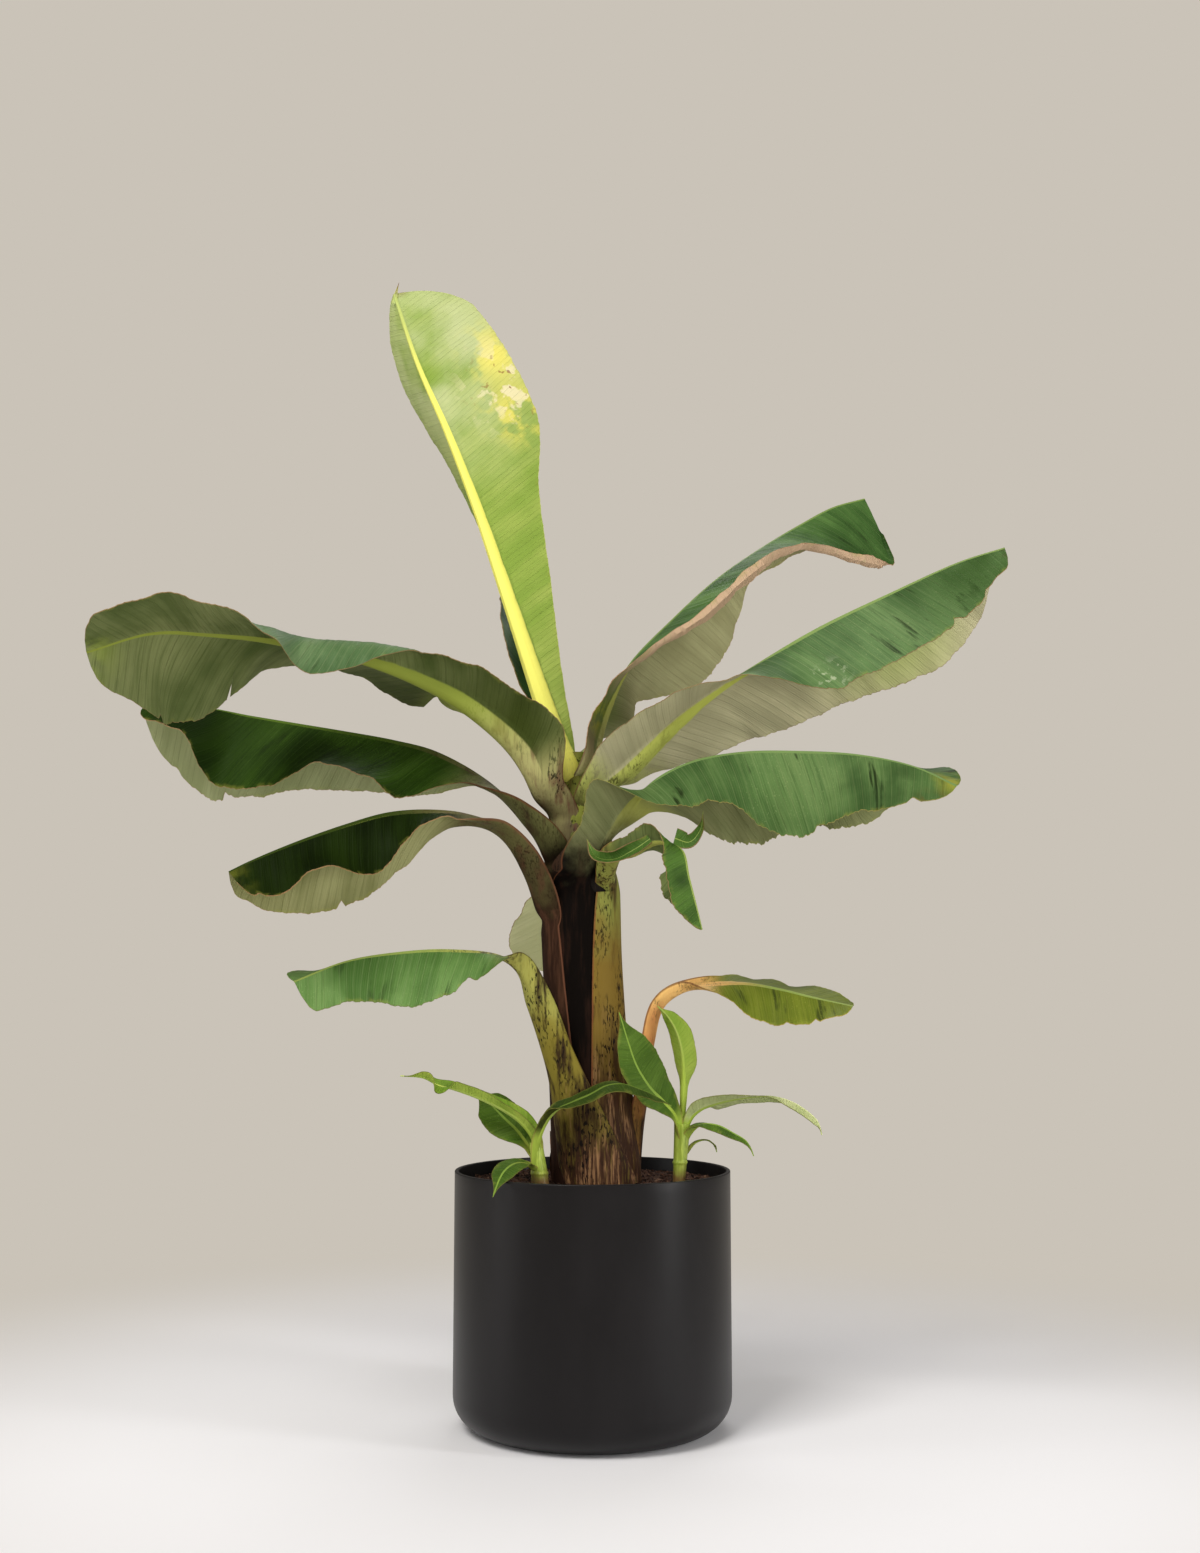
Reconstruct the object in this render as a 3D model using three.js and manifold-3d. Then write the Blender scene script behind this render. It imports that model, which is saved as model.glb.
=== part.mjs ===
// Banana plant in a plain round pot, with two young side shoots.
// Millimetres, +Z up, +X to the right and +Y away from the viewer.
// The origin is the centre of the pot's flat underside.
import * as THREE from "three";
import Module from "manifold-3d";

const wasm = await Module();
wasm.setup();

// Clearance between two solids that meet.
const GAP = 0.3;

// Pot: a straight thin-walled cylinder with a widely rounded foot.
const POT = {
  radius: 152.5,
  height: 275,
  wall: 4.5,
  floor: 6,
  footRounding: 37,
  lip: 0.8,
  sides: 40,
  arcSteps: 5,
};

// Soil surface, measured down from the pot's rim.
const SOIL_BELOW_RIM = 13;
const SOIL_TOP = POT.height - SOIL_BELOW_RIM;

// False stem: centre line and radius at evenly spaced heights from the soil to the crown.
const STEM = {
  foot: SOIL_TOP + GAP,
  top: 742,
  x: [4, -1, -7, -12, -15, -17, -20],
  y: [2, 3, 3, 4, 6, 8, 10],
  radius: [44, 41, 39, 39, 40, 34, 14],
  sides: 20,
  rings: 12,
};

// Stalks are thicker than blades, and a blade is thickest along its midrib.
const STALK_THICKNESS = 9;
const BLADE = { thickness: 5.5, midrib: 3, rows: 17, across: 3 };
const SHOOT_BLADE = { thickness: 2, midrib: 1, rows: 9, across: 2 };

// Each leaf follows its midrib through a few points. One value a point gives, for either half of the
// blade: its width, the angle at which it leaves the midrib (degrees, up towards the upper face), and
// how far it turns from there to its margin. Left is on the left hand of someone who looks along the
// midrib to the tip, with the upper face up. A sheath wraps the stem below the first point: bearing
// and wrap are angles in degrees, layer is how far it lies outside the stem. The stem solid carries
// the leaf up to the station called cut. Facing is the way the upper face looks, spread evenly.
const LEAVES = {
  leaf_upright: {
    rib: [[-30, 0, 719], [-42, 4, 750], [-69, 14, 830], [-103, 28, 934],
      [-138, 42, 1038], [-175, 54, 1135], [-214, 64, 1227], [-242, 70, 1312]],
    facing: [[0, 1, 0]],
    left: {
      width: [9, 14, 34, 58, 80, 114, 106, 80],
      fold: [50, 40, 20, 12, 10, 8, 5, 5],
      turn: [30, 20, 15, 10, 10, 10, 10, 10],
    },
    right: {
      width: [10, 12, 20, 50, 70, 90, 80, 40],
      fold: [60, 80, 88, 85, 80, 75, 65, 55],
      turn: [20, 10, 10, 10, 15, 15, 15, 15],
    },
    sheath: { bearing: 100, low: 600, high: 690, layer: -6, wrap: [90, 50] },
    tip: { length: 0.5, squareness: 1.6 },
    cut: 1,
  },
  leaf_upper_left: {
    rib: [[-59, -22, 694], [-84, -30, 738], [-133, -42, 782], [-184, -55, 811], [-253, -75, 835],
      [-309, -95, 844], [-361, -115, 851], [-417, -135, 853], [-469, -155, 849], [-530, -175, 825]],
    facing: [[0.5, 0, 1], [0, 0, 1], [0, 0, 1], [0, 0, 1]],
    left: {
      width: [16, 58, 50, 50, 85, 90, 90, 90, 88, 60],
      fold: [30, 75, 70, 60, 45, 30, 18, 8, 15, 12],
      turn: [60, -20, -40, -60, -120, -120, -50, 0, 0, 0],
    },
    right: {
      width: [16, 16, 20, 78, 82, 85, 90, 94, 92, 25],
      fold: [30, 0, -4, -6, 4, 6, -18, -50, -62, -60],
      turn: [60, 20, 0, -10, -10, -14, -16, -16, -16, 0],
    },
    sheath: { bearing: 190, low: 560, high: 680, layer: -3, wrap: [90, 50] },
    tip: { length: 0.6, squareness: 2.2 },
    cut: 0.8,
  },
  leaf_middle_left: {
    rib: [[-53, -18, 626], [-82, -10, 672], [-120, 0, 709], [-180, 14, 744], [-228, 24, 758],
      [-286, 36, 770], [-344, 48, 781], [-402, 60, 792], [-462, 72, 804], [-537, 86, 806]],
    facing: [[0.5, 0, 1], [0, 0, 1], [0, 0, 1]],
    left: {
      width: [18, 18, 22, 72, 85, 85, 88, 90, 75, 30],
      fold: [40, 20, -20, -54, -52, -60, -50, -58, -34, -40],
      turn: [40, 20, -10, -12, -20, 66, -4, -14, -8, 0],
    },
    right: {
      width: [18, 18, 22, 70, 80, 85, 90, 94, 96, 50],
      fold: [40, 20, -20, -34, -38, -42, -52, -54, -58, -50],
      turn: [40, 20, 0, -12, -14, -14, -12, -10, -10, 0],
    },
    sheath: { bearing: 200, low: 480, high: 600, layer: 0, wrap: [90, 50] },
    tip: { length: 0.7, squareness: 2.2 },
    cut: 1.2,
  },
  leaf_lower_left: {
    rib: [[-57, -34, 566], [-80, -44, 620], [-105, -58, 652], [-139, -78, 664], [-178, -100, 666],
      [-218, -120, 661], [-258, -142, 647], [-305, -166, 627], [-349, -190, 605], [-370, -200, 593]],
    facing: [[0.5, 0, 1], [0, 0, 1], [0, 0, 1]],
    left: {
      width: [22, 20, 18, 20, 60, 72, 75, 70, 60, 40],
      fold: [40, 20, 10, -20, -65, -66, -62, -60, -35, -40],
      turn: [40, 30, 10, 10, 96, 20, 0, 68, 0, 0],
    },
    right: {
      width: [22, 20, 18, 20, 45, 75, 88, 85, 62, 40],
      fold: [40, 20, -10, -30, -40, -46, -56, -54, -44, -40],
      turn: [40, 20, 0, -10, -10, -12, -12, -12, -12, 0],
    },
    sheath: { bearing: 190, low: 300, high: 540, layer: 3, wrap: [75, 42] },
    tip: { length: 0.5, squareness: 2.4 },
    cut: 1.5,
  },
  leaf_small_left: {
    rib: [[39, -47, 262], [0, -50, 346], [-31, -53, 403], [-60, -58, 462], [-80, -64, 496],
      [-100, -72, 510], [-153, -92, 516], [-204, -112, 513], [-259, -134, 503], [-309, -154, 482]],
    facing: [[0, 1, 0], [0, 1, 0], [0.1, 1, 0.2], [0.4, 0.5, 0.7], [0, 0, 1], [0, 0, 1], [0, 0, 1]],
    left: {
      width: [30, 26, 20, 18, 12, 14, 52, 62, 58, 30],
      fold: [0, 0, 0, 0, 20, -20, -48, -56, -52, -50],
      turn: [70, 70, 70, 70, 60, 10, -10, -14, -10, 0],
    },
    right: {
      width: [50, 38, 26, 18, 12, 14, 45, 55, 52, 30],
      fold: [0, 0, 0, 0, 20, 0, -6, -24, -30, -30],
      turn: [70, 70, 70, 70, 60, 20, 0, -10, -10, 0],
    },
    tip: { length: 0.6, squareness: 2.2 },
    cut: 4.2,
  },
  leaf_upper_right: {
    rib: [[-3, 10, 717], [6, 22, 756], [18, 36, 801], [42, 56, 852], [95, 84, 913],
      [151, 112, 969], [205, 138, 1012], [260, 162, 1050], [302, 180, 1076], [345, 196, 1092]],
    facing: [[-0.5, -0.3, 1], [-0.3, -0.2, 1], [0, 0, 1]],
    left: {
      width: [14, 20, 50, 70, 85, 85, 85, 88, 85, 30],
      fold: [40, -10, -72, -48, -64, -50, -32, -44, -60, -55],
      turn: [40, 0, 0, 0, -12, -10, -10, -10, -10, 0],
    },
    right: {
      width: [14, 34, 30, 45, 85, 88, 90, 88, 90, 88],
      fold: [40, 60, 45, 5, -8, -8, -10, -30, -46, -58],
      turn: [40, 0, 0, 0, -4, -4, -4, -4, -4, -4],
    },
    sheath: { bearing: 55, low: 560, high: 680, layer: -4, wrap: [90, 50] },
    tip: { length: 0.2, squareness: 3 },
    cut: 0.9,
  },
  leaf_second_right: {
    rib: [[5, -16, 685], [41, -24, 717], [98, -36, 773], [138, -46, 806], [171, -54, 826],
      [246, -72, 869], [327, -90, 906], [401, -108, 937], [448, -120, 950]],
    facing: [[-0.5, 0, 1], [-0.3, 0, 1], [0, 0, 1]],
    left: {
      width: [16, 20, 65, 85, 92, 98, 92, 70, 20],
      fold: [40, -40, -50, -42, -46, -52, -52, -22, -30],
      turn: [40, 0, 0, -8, -12, -12, -12, -6, 0],
    },
    right: {
      width: [16, 46, 40, 45, 55, 85, 85, 75, 30],
      fold: [40, 55, 35, 6, -14, -60, -62, -52, -60],
      turn: [40, 0, 0, 0, 0, -8, -12, -10, 0],
    },
    sheath: { bearing: -15, low: 520, high: 650, layer: -2, wrap: [90, 50] },
    tip: { length: 0.25, squareness: 3 },
    cut: 0.8,
  },
  leaf_third_right: {
    rib: [[-1, -36, 603], [17, -48, 640], [41, -62, 674], [68, -76, 701], [106, -92, 719],
      [159, -112, 727], [221, -136, 725], [281, -160, 718], [334, -182, 703], [374, -198, 681]],
    facing: [[-0.5, 0, 1], [-0.3, 0, 1], [0, 0, 1]],
    left: {
      width: [18, 18, 20, 65, 105, 85, 105, 85, 70, 30],
      fold: [40, 10, -30, -54, -56, -44, -56, -45, 0, 25],
      turn: [40, 0, -10, -8, -12, -12, -12, -10, 0, 0],
    },
    right: {
      width: [18, 30, 52, 50, 70, 78, 98, 92, 75, 30],
      fold: [40, 60, 55, -15, -46, -50, -80, -58, -52, -50],
      turn: [40, 0, 0, 0, 0, 10, -8, -8, -4, 0],
    },
    sheath: { bearing: -75, low: 330, high: 570, layer: 1, wrap: [80, 48] },
    tip: { length: 0.4, squareness: 2.4 },
    cut: 1.3,
  },
  leaf_crumpled_right: {
    rib: [[16, -46, 602], [21, -62, 619], [46, -84, 622], [73, -104, 631],
      [96, -120, 621], [103, -128, 591], [110, -130, 562], [116, -131, 536]],
    facing: [[-0.5, 0, 1], [0, 0, 1], [0, 0, 1], [0.5, -0.3, 0.6], [1, -0.3, 0], [1, -0.3, 0], [1, -0.3, 0]],
    left: {
      width: [16, 14, 14, 24, 42, 34, 26, 8],
      fold: [40, 20, 0, -40, -60, -60, -50, -40],
      turn: [40, 40, 20, 0, 0, 0, 0, 0],
    },
    right: {
      width: [16, 14, 20, 26, 30, 26, 22, 8],
      fold: [40, 50, 60, 40, -20, -50, -50, -40],
      turn: [40, 40, 20, 0, 0, 0, 0, 0],
    },
    sheath: { bearing: -28, low: 262, high: 570, layer: 3, wrap: [72, 42] },
    tip: { length: 0.5, squareness: 2 },
    cut: 1.4,
  },
  leaf_low_right: {
    rib: [[49, 4, 262], [53, 4, 318], [60, 4, 367], [66, 2, 417], [77, 0, 455], [101, -4, 473],
      [137, -10, 479], [172, -16, 480], [207, -24, 474], [241, -34, 465], [285, -48, 455]],
    facing: [[-1, 0, 0], [-1, 0, 0], [-0.8, 0, 0.4], [-0.4, 0, 0.8], [0, 0, 1], [0, 0, 1], [0, 0, 1]],
    left: {
      width: [18, 16, 14, 12, 11, 10, 10, 36, 42, 42, 20],
      fold: [0, 0, 0, 0, 0, 0, 30, 10, 6, 16, 10],
      turn: [80, 80, 80, 80, 80, 70, 20, 0, 0, 0, 0],
    },
    right: {
      width: [18, 16, 14, 12, 11, 10, 14, 38, 46, 42, 20],
      fold: [0, 0, 0, 0, 0, 0, -30, -44, -52, -44, -30],
      turn: [80, 80, 80, 80, 80, 70, 0, -8, -8, -8, 0],
    },
    tip: { length: 0.35, squareness: 2.4 },
    cut: 5.2,
  },
  leaf_back_drooping: {
    rib: [[-20, 48, 634], [-22, 70, 668], [-25, 110, 684], [-30, 160, 672],
      [-34, 212, 643], [-40, 262, 600], [-49, 300, 545], [-54, 325, 494]],
    facing: [[0, -0.5, 1], [0, 0, 1], [0, 0, 1], [0, 0.5, 1], [0, 1, 1], [0, 1, 0.8]],
    left: {
      width: [16, 15, 14, 20, 34, 52, 64, 50],
      fold: [40, 20, -10, -30, -40, -30, -15, -10],
      turn: [40, 20, 0, -10, -10, -10, -10, 0],
    },
    right: {
      width: [16, 15, 14, 20, 34, 56, 66, 50],
      fold: [40, 20, -10, -30, -40, -30, -15, -10],
      turn: [40, 20, 0, -10, -10, -10, -10, 0],
    },
    sheath: { bearing: 100, low: 460, high: 600, layer: 0, wrap: [90, 50] },
    tip: { length: 0.8, squareness: 2.2 },
    cut: 1.2,
  },
  leaf_back_young: {
    rib: [[-24, 34, 696], [-39, 50, 757], [-57, 84, 815], [-74, 134, 868],
      [-86, 194, 909], [-95, 254, 939], [-102, 314, 962]],
    facing: [[0, -1, 0.3], [0, -0.6, 1], [0, 0, 1], [0, 0, 1]],
    left: {
      width: [14, 20, 44, 48, 46, 38, 16],
      fold: [40, 50, 52, 55, 58, 55, 45],
      turn: [40, 20, 0, 0, 0, 0, 0],
    },
    right: {
      width: [14, 20, 38, 40, 38, 34, 16],
      fold: [40, 60, 72, 76, 76, 70, 60],
      turn: [40, 20, 0, 0, 0, 0, 0],
    },
    sheath: { bearing: 80, low: 560, high: 670, layer: -3, wrap: [90, 50] },
    tip: { length: 0.7, squareness: 2 },
    cut: 1,
  },
};

// Two side shoots: a short stem that tapers up from the soil, and its leaves by the same rule.
const SHOOTS = {
  left_shoot: {
    stem: { foot: [-56, -50, SOIL_TOP + GAP], top: [-61, -50, 308], radius: [9.5, 7] },
    leaves: {
      leaf_long: {
        rib: [[-60, -50, 290], [-63, -53, 310], [-76, -60, 329], [-94, -68, 343], [-122, -82, 358],
          [-147, -95, 368], [-163, -103, 373], [-178, -111, 381], [-201, -122, 384]],
        facing: [[0.7, 0, 0.7], [0, 0, 1], [0, 0, 1]],
        left: {
          width: [8, 8, 8, 8, 10, 10, 10, 8, 2],
          fold: [60, 60, 60, 60, 60, 60, -60, 60, 0],
          turn: [40, 20, 0, 0, 0, 0, 0, 0, 0],
        },
        right: {
          width: [8, 10, 16, 16, 15, 13, 10, 8, 2],
          fold: [60, 70, 60, 50, 40, 40, 40, 40, 0],
          turn: [40, 20, 0, 0, 0, 0, 0, 0, 0],
        },
        tip: { length: 0.8, squareness: 1.2 },
        cut: 2.0,
      },
      leaf_broad: {
        rib: [[-61, -46, 284], [-68, -44, 300], [-81, -40, 319],
          [-98, -36, 335], [-112, -32, 348], [-124, -29, 356]],
        facing: [[0.5, -0.9, 0.3]],
        left: {
          width: [8, 8, 20, 24, 20, 8],
          fold: [50, 30, 5, 0, 0, 0],
          turn: [30, 10, 0, 0, 0, 0],
        },
        right: {
          width: [8, 8, 18, 22, 18, 8],
          fold: [50, 30, 5, 0, 0, 0],
          turn: [30, 10, 0, 0, 0, 0],
        },
        tip: { length: 1, squareness: 2 },
        cut: 1.4,
      },
      leaf_arching: {
        rib: [[-59, -54, 285], [-58, -56, 310], [-51, -60, 328], [-40, -66, 343], [-22, -74, 353],
          [-2, -78, 362], [15, -78, 371], [32, -76, 373], [51, -70, 367], [68, -60, 359], [86, -54, 348]],
        facing: [[-1, 0, 0.2], [-0.5, 0, 1], [0, 0, 1], [0, 0, 1]],
        left: {
          width: [8, 8, 9, 10, 11, 12, 12, 12, 11, 8, 2],
          fold: [60, 60, 60, 50, 30, 30, 20, 0, -20, -30, -30],
          turn: [30, 20, 0, 0, 0, 0, 0, 0, 0, 0, 0],
        },
        right: {
          width: [8, 8, 9, 11, 12, 12, 12, 12, 11, 8, 2],
          fold: [60, 60, 50, 30, -20, -40, -40, -40, -50, -50, -30],
          turn: [30, 20, 0, 0, 0, 0, 0, 0, 0, 0, 0],
        },
        tip: { length: 0.8, squareness: 1.2 },
        cut: 1.7,
      },
      leaf_low: {
        rib: [[-60, -52, 278], [-70, -66, 287], [-82, -88, 290], [-94, -118, 282], [-102, -144, 262]],
        facing: [[0.5, 0, 1], [0, -0.5, 1], [0, -0.8, 0.6]],
        left: {
          width: [5, 7, 14, 12, 2],
          fold: [50, 20, 0, 0, 0],
          turn: [20, 0, 0, 0, 0],
        },
        right: {
          width: [5, 7, 13, 11, 2],
          fold: [50, 20, 0, 0, 0],
          turn: [20, 0, 0, 0, 0],
        },
        tip: { length: 0.9, squareness: 1.4 },
        cut: 0.9,
      },
    },
  },
  right_shoot: {
    stem: { foot: [95, -15, SOIL_TOP + GAP], top: [99, -15, 326], radius: [6.5, 9] },
    leaves: {
      leaf_broad: {
        rib: [[96, -16, 308], [91, -24, 334], [78, -34, 351], [63, -44, 367],
          [48, -54, 391], [39, -60, 416], [29, -64, 449]],
        facing: [[0.4, -0.6, 0.2], [0.4, -0.9, 0.1], [0.3, -0.95, 0]],
        left: {
          width: [6, 8, 14, 20, 20, 14, 3],
          fold: [50, 30, 10, 5, 5, 5, 5],
          turn: [20, 0, 0, 0, 0, 0, 0],
        },
        right: {
          width: [6, 8, 18, 26, 28, 20, 3],
          fold: [50, 30, 10, 5, 5, 5, 5],
          turn: [20, 0, 0, 0, 0, 0, 0],
        },
        tip: { length: 1, squareness: 1.5 },
        cut: 1,
      },
      leaf_upright: {
        rib: [[99, -15, 303], [99, -17, 328], [100, -20, 361], [100, -23, 394],
          [94, -26, 423], [84, -28, 442], [71, -30, 456]],
        facing: [[0, 1, 0], [0.2, 1, 0]],
        left: {
          width: [6, 7, 8, 14, 14, 8, 1],
          fold: [50, 50, 40, 30, 30, 30, 20],
          turn: [40, 60, 60, 30, 20, 0, 0],
        },
        right: {
          width: [6, 7, 8, 12, 12, 7, 1],
          fold: [60, 60, 50, 40, 40, 40, 20],
          turn: [40, 60, 60, 30, 20, 0, 0],
        },
        tip: { length: 1, squareness: 1.4 },
        cut: 1.2,
      },
      leaf_arching: {
        rib: [[100, -14, 308], [108, -16, 330], [119, -20, 341], [135, -26, 348], [153, -32, 353],
          [175, -40, 357], [196, -48, 358], [215, -54, 353], [232, -60, 343], [243, -64, 332],
          [247, -66, 318]],
        facing: [[-0.8, 0, 0.5], [-0.3, 0, 1], [0, 0, 1], [0, 0, 1]],
        left: {
          width: [7, 8, 10, 11, 10, 10, 9, 9, 8, 6, 1],
          fold: [50, 40, 20, -40, -40, -50, -50, -30, -30, -30, 0],
          turn: [30, 0, 0, 0, 0, 0, 0, 0, 0, 0, 0],
        },
        right: {
          width: [7, 9, 14, 13, 10, 8, 8, 9, 8, 6, 1],
          fold: [50, 60, 60, 50, 40, 20, -10, -40, -50, -50, 0],
          turn: [30, 0, 0, 0, 0, 0, 0, 0, 0, 0, 0],
        },
        tip: { length: 0.9, squareness: 1.2 },
        cut: 1,
      },
      leaf_low: {
        rib: [[100, -14, 297], [107, -18, 315], [120, -24, 326], [137, -32, 326],
          [154, -40, 318], [168, -46, 309], [175, -50, 294]],
        facing: [[-0.8, 0, 0.5], [-0.3, 0, 1], [0, 0, 1], [0, 0, 1]],
        left: {
          width: [7, 9, 11, 9, 7, 5, 1],
          fold: [50, 40, 0, -30, -40, -30, 0],
          turn: [20, 0, 0, 0, 0, 0, 0],
        },
        right: {
          width: [7, 9, 12, 10, 8, 5, 1],
          fold: [50, 40, 0, -40, -50, -40, 0],
          turn: [20, 0, 0, 0, 0, 0, 0],
        },
        tip: { length: 0.9, squareness: 1.2 },
        cut: 1.6,
      },
      leaf_thin: {
        rib: [[101, -12, 291], [113, -10, 305], [126, -8, 308], [135, -6, 302], [138, -4, 294]],
        facing: [[-0.5, 0, 0.8], [0, 0, 1]],
        left: {
          width: [4, 3, 3, 2.5, 1],
          fold: [30, 20, 0, 0, 0],
          turn: [20, 0, 0, 0, 0],
        },
        right: {
          width: [4, 3, 3, 2.5, 1],
          fold: [30, 20, 0, 0, 0],
          turn: [20, 0, 0, 0, 0],
        },
        tip: { length: 0.9, squareness: 1.2 },
        cut: 0.8,
      },
    },
  },
};

// Finishes, one a kind of surface.
const FINISH = {
  pot: { color: 0x242124, roughness: 0.55, metalness: 0 },
  soil: { color: 0x2e1f19, roughness: 0.95, metalness: 0 },
  stem: { color: 0x4a3a26, roughness: 0.6, metalness: 0 },
  leaf: { color: 0x3f7a3a, roughness: 0.5, metalness: 0 },
  youngLeaf: { color: 0x9cb85a, roughness: 0.5, metalness: 0 },
};

const { clamp, degToRad, lerp, smoothstep } = THREE.MathUtils;

// Value at a station of a list with one value a station, on a smooth curve that never overshoots.
function keyed(values, station) {
  const last = values.length - 1;
  if (last === 0) {
    return values[0];
  }
  const at = clamp(station, 0, last);
  const i = Math.min(Math.floor(at), last - 1);
  const u = at - i;
  const value = (k) => values[clamp(k, 0, last)];
  const slope = (k) => {
    const before = value(k) - value(k - 1);
    const after = value(k + 1) - value(k);
    return before * after > 0 ? (before + after) / 2 : 0;
  };
  const rise = u * u * (3 - 2 * u);
  const bend = slope(i) * (u ** 3 - 2 * u * u + u) + slope(i + 1) * (u ** 3 - u * u);
  return value(i) + (value(i + 1) - value(i)) * rise + bend;
}

// A list stretched evenly, by straight steps, to a new number of entries.
function spread(values, count) {
  return Array.from({ length: count }, (_, k) => {
    const at = (k / (count - 1)) * (values.length - 1);
    const i = Math.min(Math.floor(at), values.length - 2);
    return i < 0 ? values[0] : lerp(values[i], values[i + 1], at - i);
  });
}

function stemStation(z) {
  return ((z - STEM.foot) / (STEM.top - STEM.foot)) * (STEM.radius.length - 1);
}

function stemCentre(z) {
  const at = stemStation(z);
  return new THREE.Vector3(keyed(STEM.x, at), keyed(STEM.y, at), z);
}

function stemRadius(z) {
  return keyed(STEM.radius, stemStation(z));
}

// One leaf's middle surface: sheath, stalk and blade in one sweep along the midrib.
class Leaf {
  static SHEATH_POINTS = 3;

  constructor(shape) {
    this.shape = shape;
    this.lead = shape.sheath ? Leaf.SHEATH_POINTS : 0;
    const points = shape.rib.map((p) => new THREE.Vector3(...p));
    const axes = [0, 1, 2].map((axis) => spread(shape.facing.map((f) => f[axis]), points.length));
    const facing = points.map((_, k) => new THREE.Vector3(axes[0][k], axes[1][k], axes[2][k]).normalize());
    if (shape.sheath) {
      const { bearing, low, high, layer } = shape.sheath;
      const out = new THREE.Vector3(Math.cos(degToRad(bearing)), Math.sin(degToRad(bearing)), 0);
      for (let k = this.lead - 1; k >= 0; k -= 1) {
        const z = lerp(low, high, k / (this.lead - 1));
        points.unshift(stemCentre(z).addScaledVector(out, stemRadius(z) + layer));
        facing.unshift(out.clone().negate());
      }
    }
    this.curve = new THREE.CatmullRomCurve3(points, false, "centripetal");
    this.facing = ["x", "y", "z"].map((axis) => facing.map((f) => f[axis]));
    this.last = shape.rib.length - 1;
    this.span = points.length - 1;
  }

  // Share of the midrib's length at a station.
  share(station) {
    const lengths = this.curve.getLengths();
    const at = ((station + this.lead) / this.span) * (lengths.length - 1);
    const i = Math.min(Math.floor(at), lengths.length - 2);
    return lerp(lengths[i], lengths[i + 1], at - i) / this.curve.getLength();
  }

  // One cross-section: points and the directions of the upper face, from left margin to right.
  section(share, across) {
    const t = this.curve.getUtoTmapping(share);
    const station = t * this.span - this.lead;
    const origin = this.curve.getPoint(t);
    const along = this.curve.getTangent(t);
    const up = new THREE.Vector3(...this.facing.map((values) => keyed(values, station + this.lead)));
    up.addScaledVector(along, -up.dot(along)).normalize();
    const side = new THREE.Vector3().crossVectors(along, up);
    const left = this.half(this.shape.left, -1, station, origin, side, up, across);
    const right = this.half(this.shape.right, 1, station, origin, side, up, across);
    const middle = { point: origin, normal: left[0].normal.clone().add(right[0].normal).normalize(), reach: 0 };
    return [...left.slice(1).reverse(), middle, ...right.slice(1)];
  }

  // One half of a cross-section, from the midrib to the margin.
  half(keys, sign, station, origin, side, up, across) {
    const { tip, sheath } = this.shape;
    const closing = clamp((station - this.last + tip.length) / tip.length, 0, 1) ** tip.squareness;
    let width = keyed(keys.width, station) * (1 - closing) ** (1 / tip.squareness);
    let fold = degToRad(keyed(keys.fold, station));
    let turn = degToRad(keyed(keys.turn, station));
    if (sheath) {
      const onStem = smoothstep(-station, 0, 1);
      const wrap = degToRad(station < -1
        ? lerp(sheath.wrap[0], sheath.wrap[1], (station + 3) / 2)
        : lerp(sheath.wrap[1], sheath.wrap[1] * 0.7, station + 1));
      const around = (stemRadius(origin.z) + sheath.layer) * wrap;
      width = lerp(width, around, onStem);
      fold = lerp(fold, 0, onStem);
      turn = lerp(turn, wrap, onStem);
    }
    const face = (angle) => up.clone().multiplyScalar(Math.cos(angle))
      .addScaledVector(side, -sign * Math.sin(angle));
    const cells = [{ point: origin, normal: face(fold), reach: 0 }];
    const point = origin.clone();
    for (let j = 1; j <= across; j += 1) {
      const angle = fold + (turn * (j - 0.5)) / across;
      point.addScaledVector(side, (sign * Math.cos(angle) * width) / across);
      point.addScaledVector(up, (Math.sin(angle) * width) / across);
      cells.push({ point: point.clone(), normal: face(fold + (turn * j) / across), reach: j / across });
    }
    return cells;
  }

  // Cross-sections between two shares of the length, closer together towards the end.
  rows(from, to, count, across, crowding) {
    return Array.from({ length: count }, (_, k) => {
      const u = 1 - (1 - k / (count - 1)) ** crowding;
      return this.section(lerp(from, to, u), across);
    });
  }
}

function bufferGeometry(positions, indices) {
  const geometry = new THREE.BufferGeometry();
  geometry.setAttribute("position", new THREE.Float32BufferAttribute(positions, 3));
  geometry.setIndex(indices);
  geometry.computeVertexNormals();
  return geometry;
}

// A closed shell round a grid of cells: an upper and a lower face, and a strip along each border.
function shell(rows, thickness) {
  const count = rows.length;
  const across = rows[0].length;
  const positions = [];
  for (const sense of [1, -1]) {
    for (const row of rows) {
      for (const cell of row) {
        const offset = (sense * thickness(cell)) / 2;
        positions.push(...cell.point.clone().addScaledVector(cell.normal, offset).toArray());
      }
    }
  }
  const upper = (i, j) => i * across + j;
  const lower = (i, j) => count * across + i * across + j;
  const indices = [];
  const quad = (a, b, c, d) => indices.push(a, b, c, a, c, d);
  for (let i = 0; i < count - 1; i += 1) {
    for (let j = 0; j < across - 1; j += 1) {
      quad(upper(i, j), upper(i, j + 1), upper(i + 1, j + 1), upper(i + 1, j));
      quad(lower(i, j), lower(i + 1, j), lower(i + 1, j + 1), lower(i, j + 1));
    }
    quad(upper(i, 0), upper(i + 1, 0), lower(i + 1, 0), lower(i, 0));
    quad(upper(i + 1, across - 1), upper(i, across - 1), lower(i, across - 1), lower(i + 1, across - 1));
  }
  for (let j = 0; j < across - 1; j += 1) {
    quad(upper(0, j + 1), upper(0, j), lower(0, j), lower(0, j + 1));
    quad(upper(count - 1, j), upper(count - 1, j + 1), lower(count - 1, j + 1), lower(count - 1, j));
  }
  return bufferGeometry(positions, indices);
}

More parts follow.
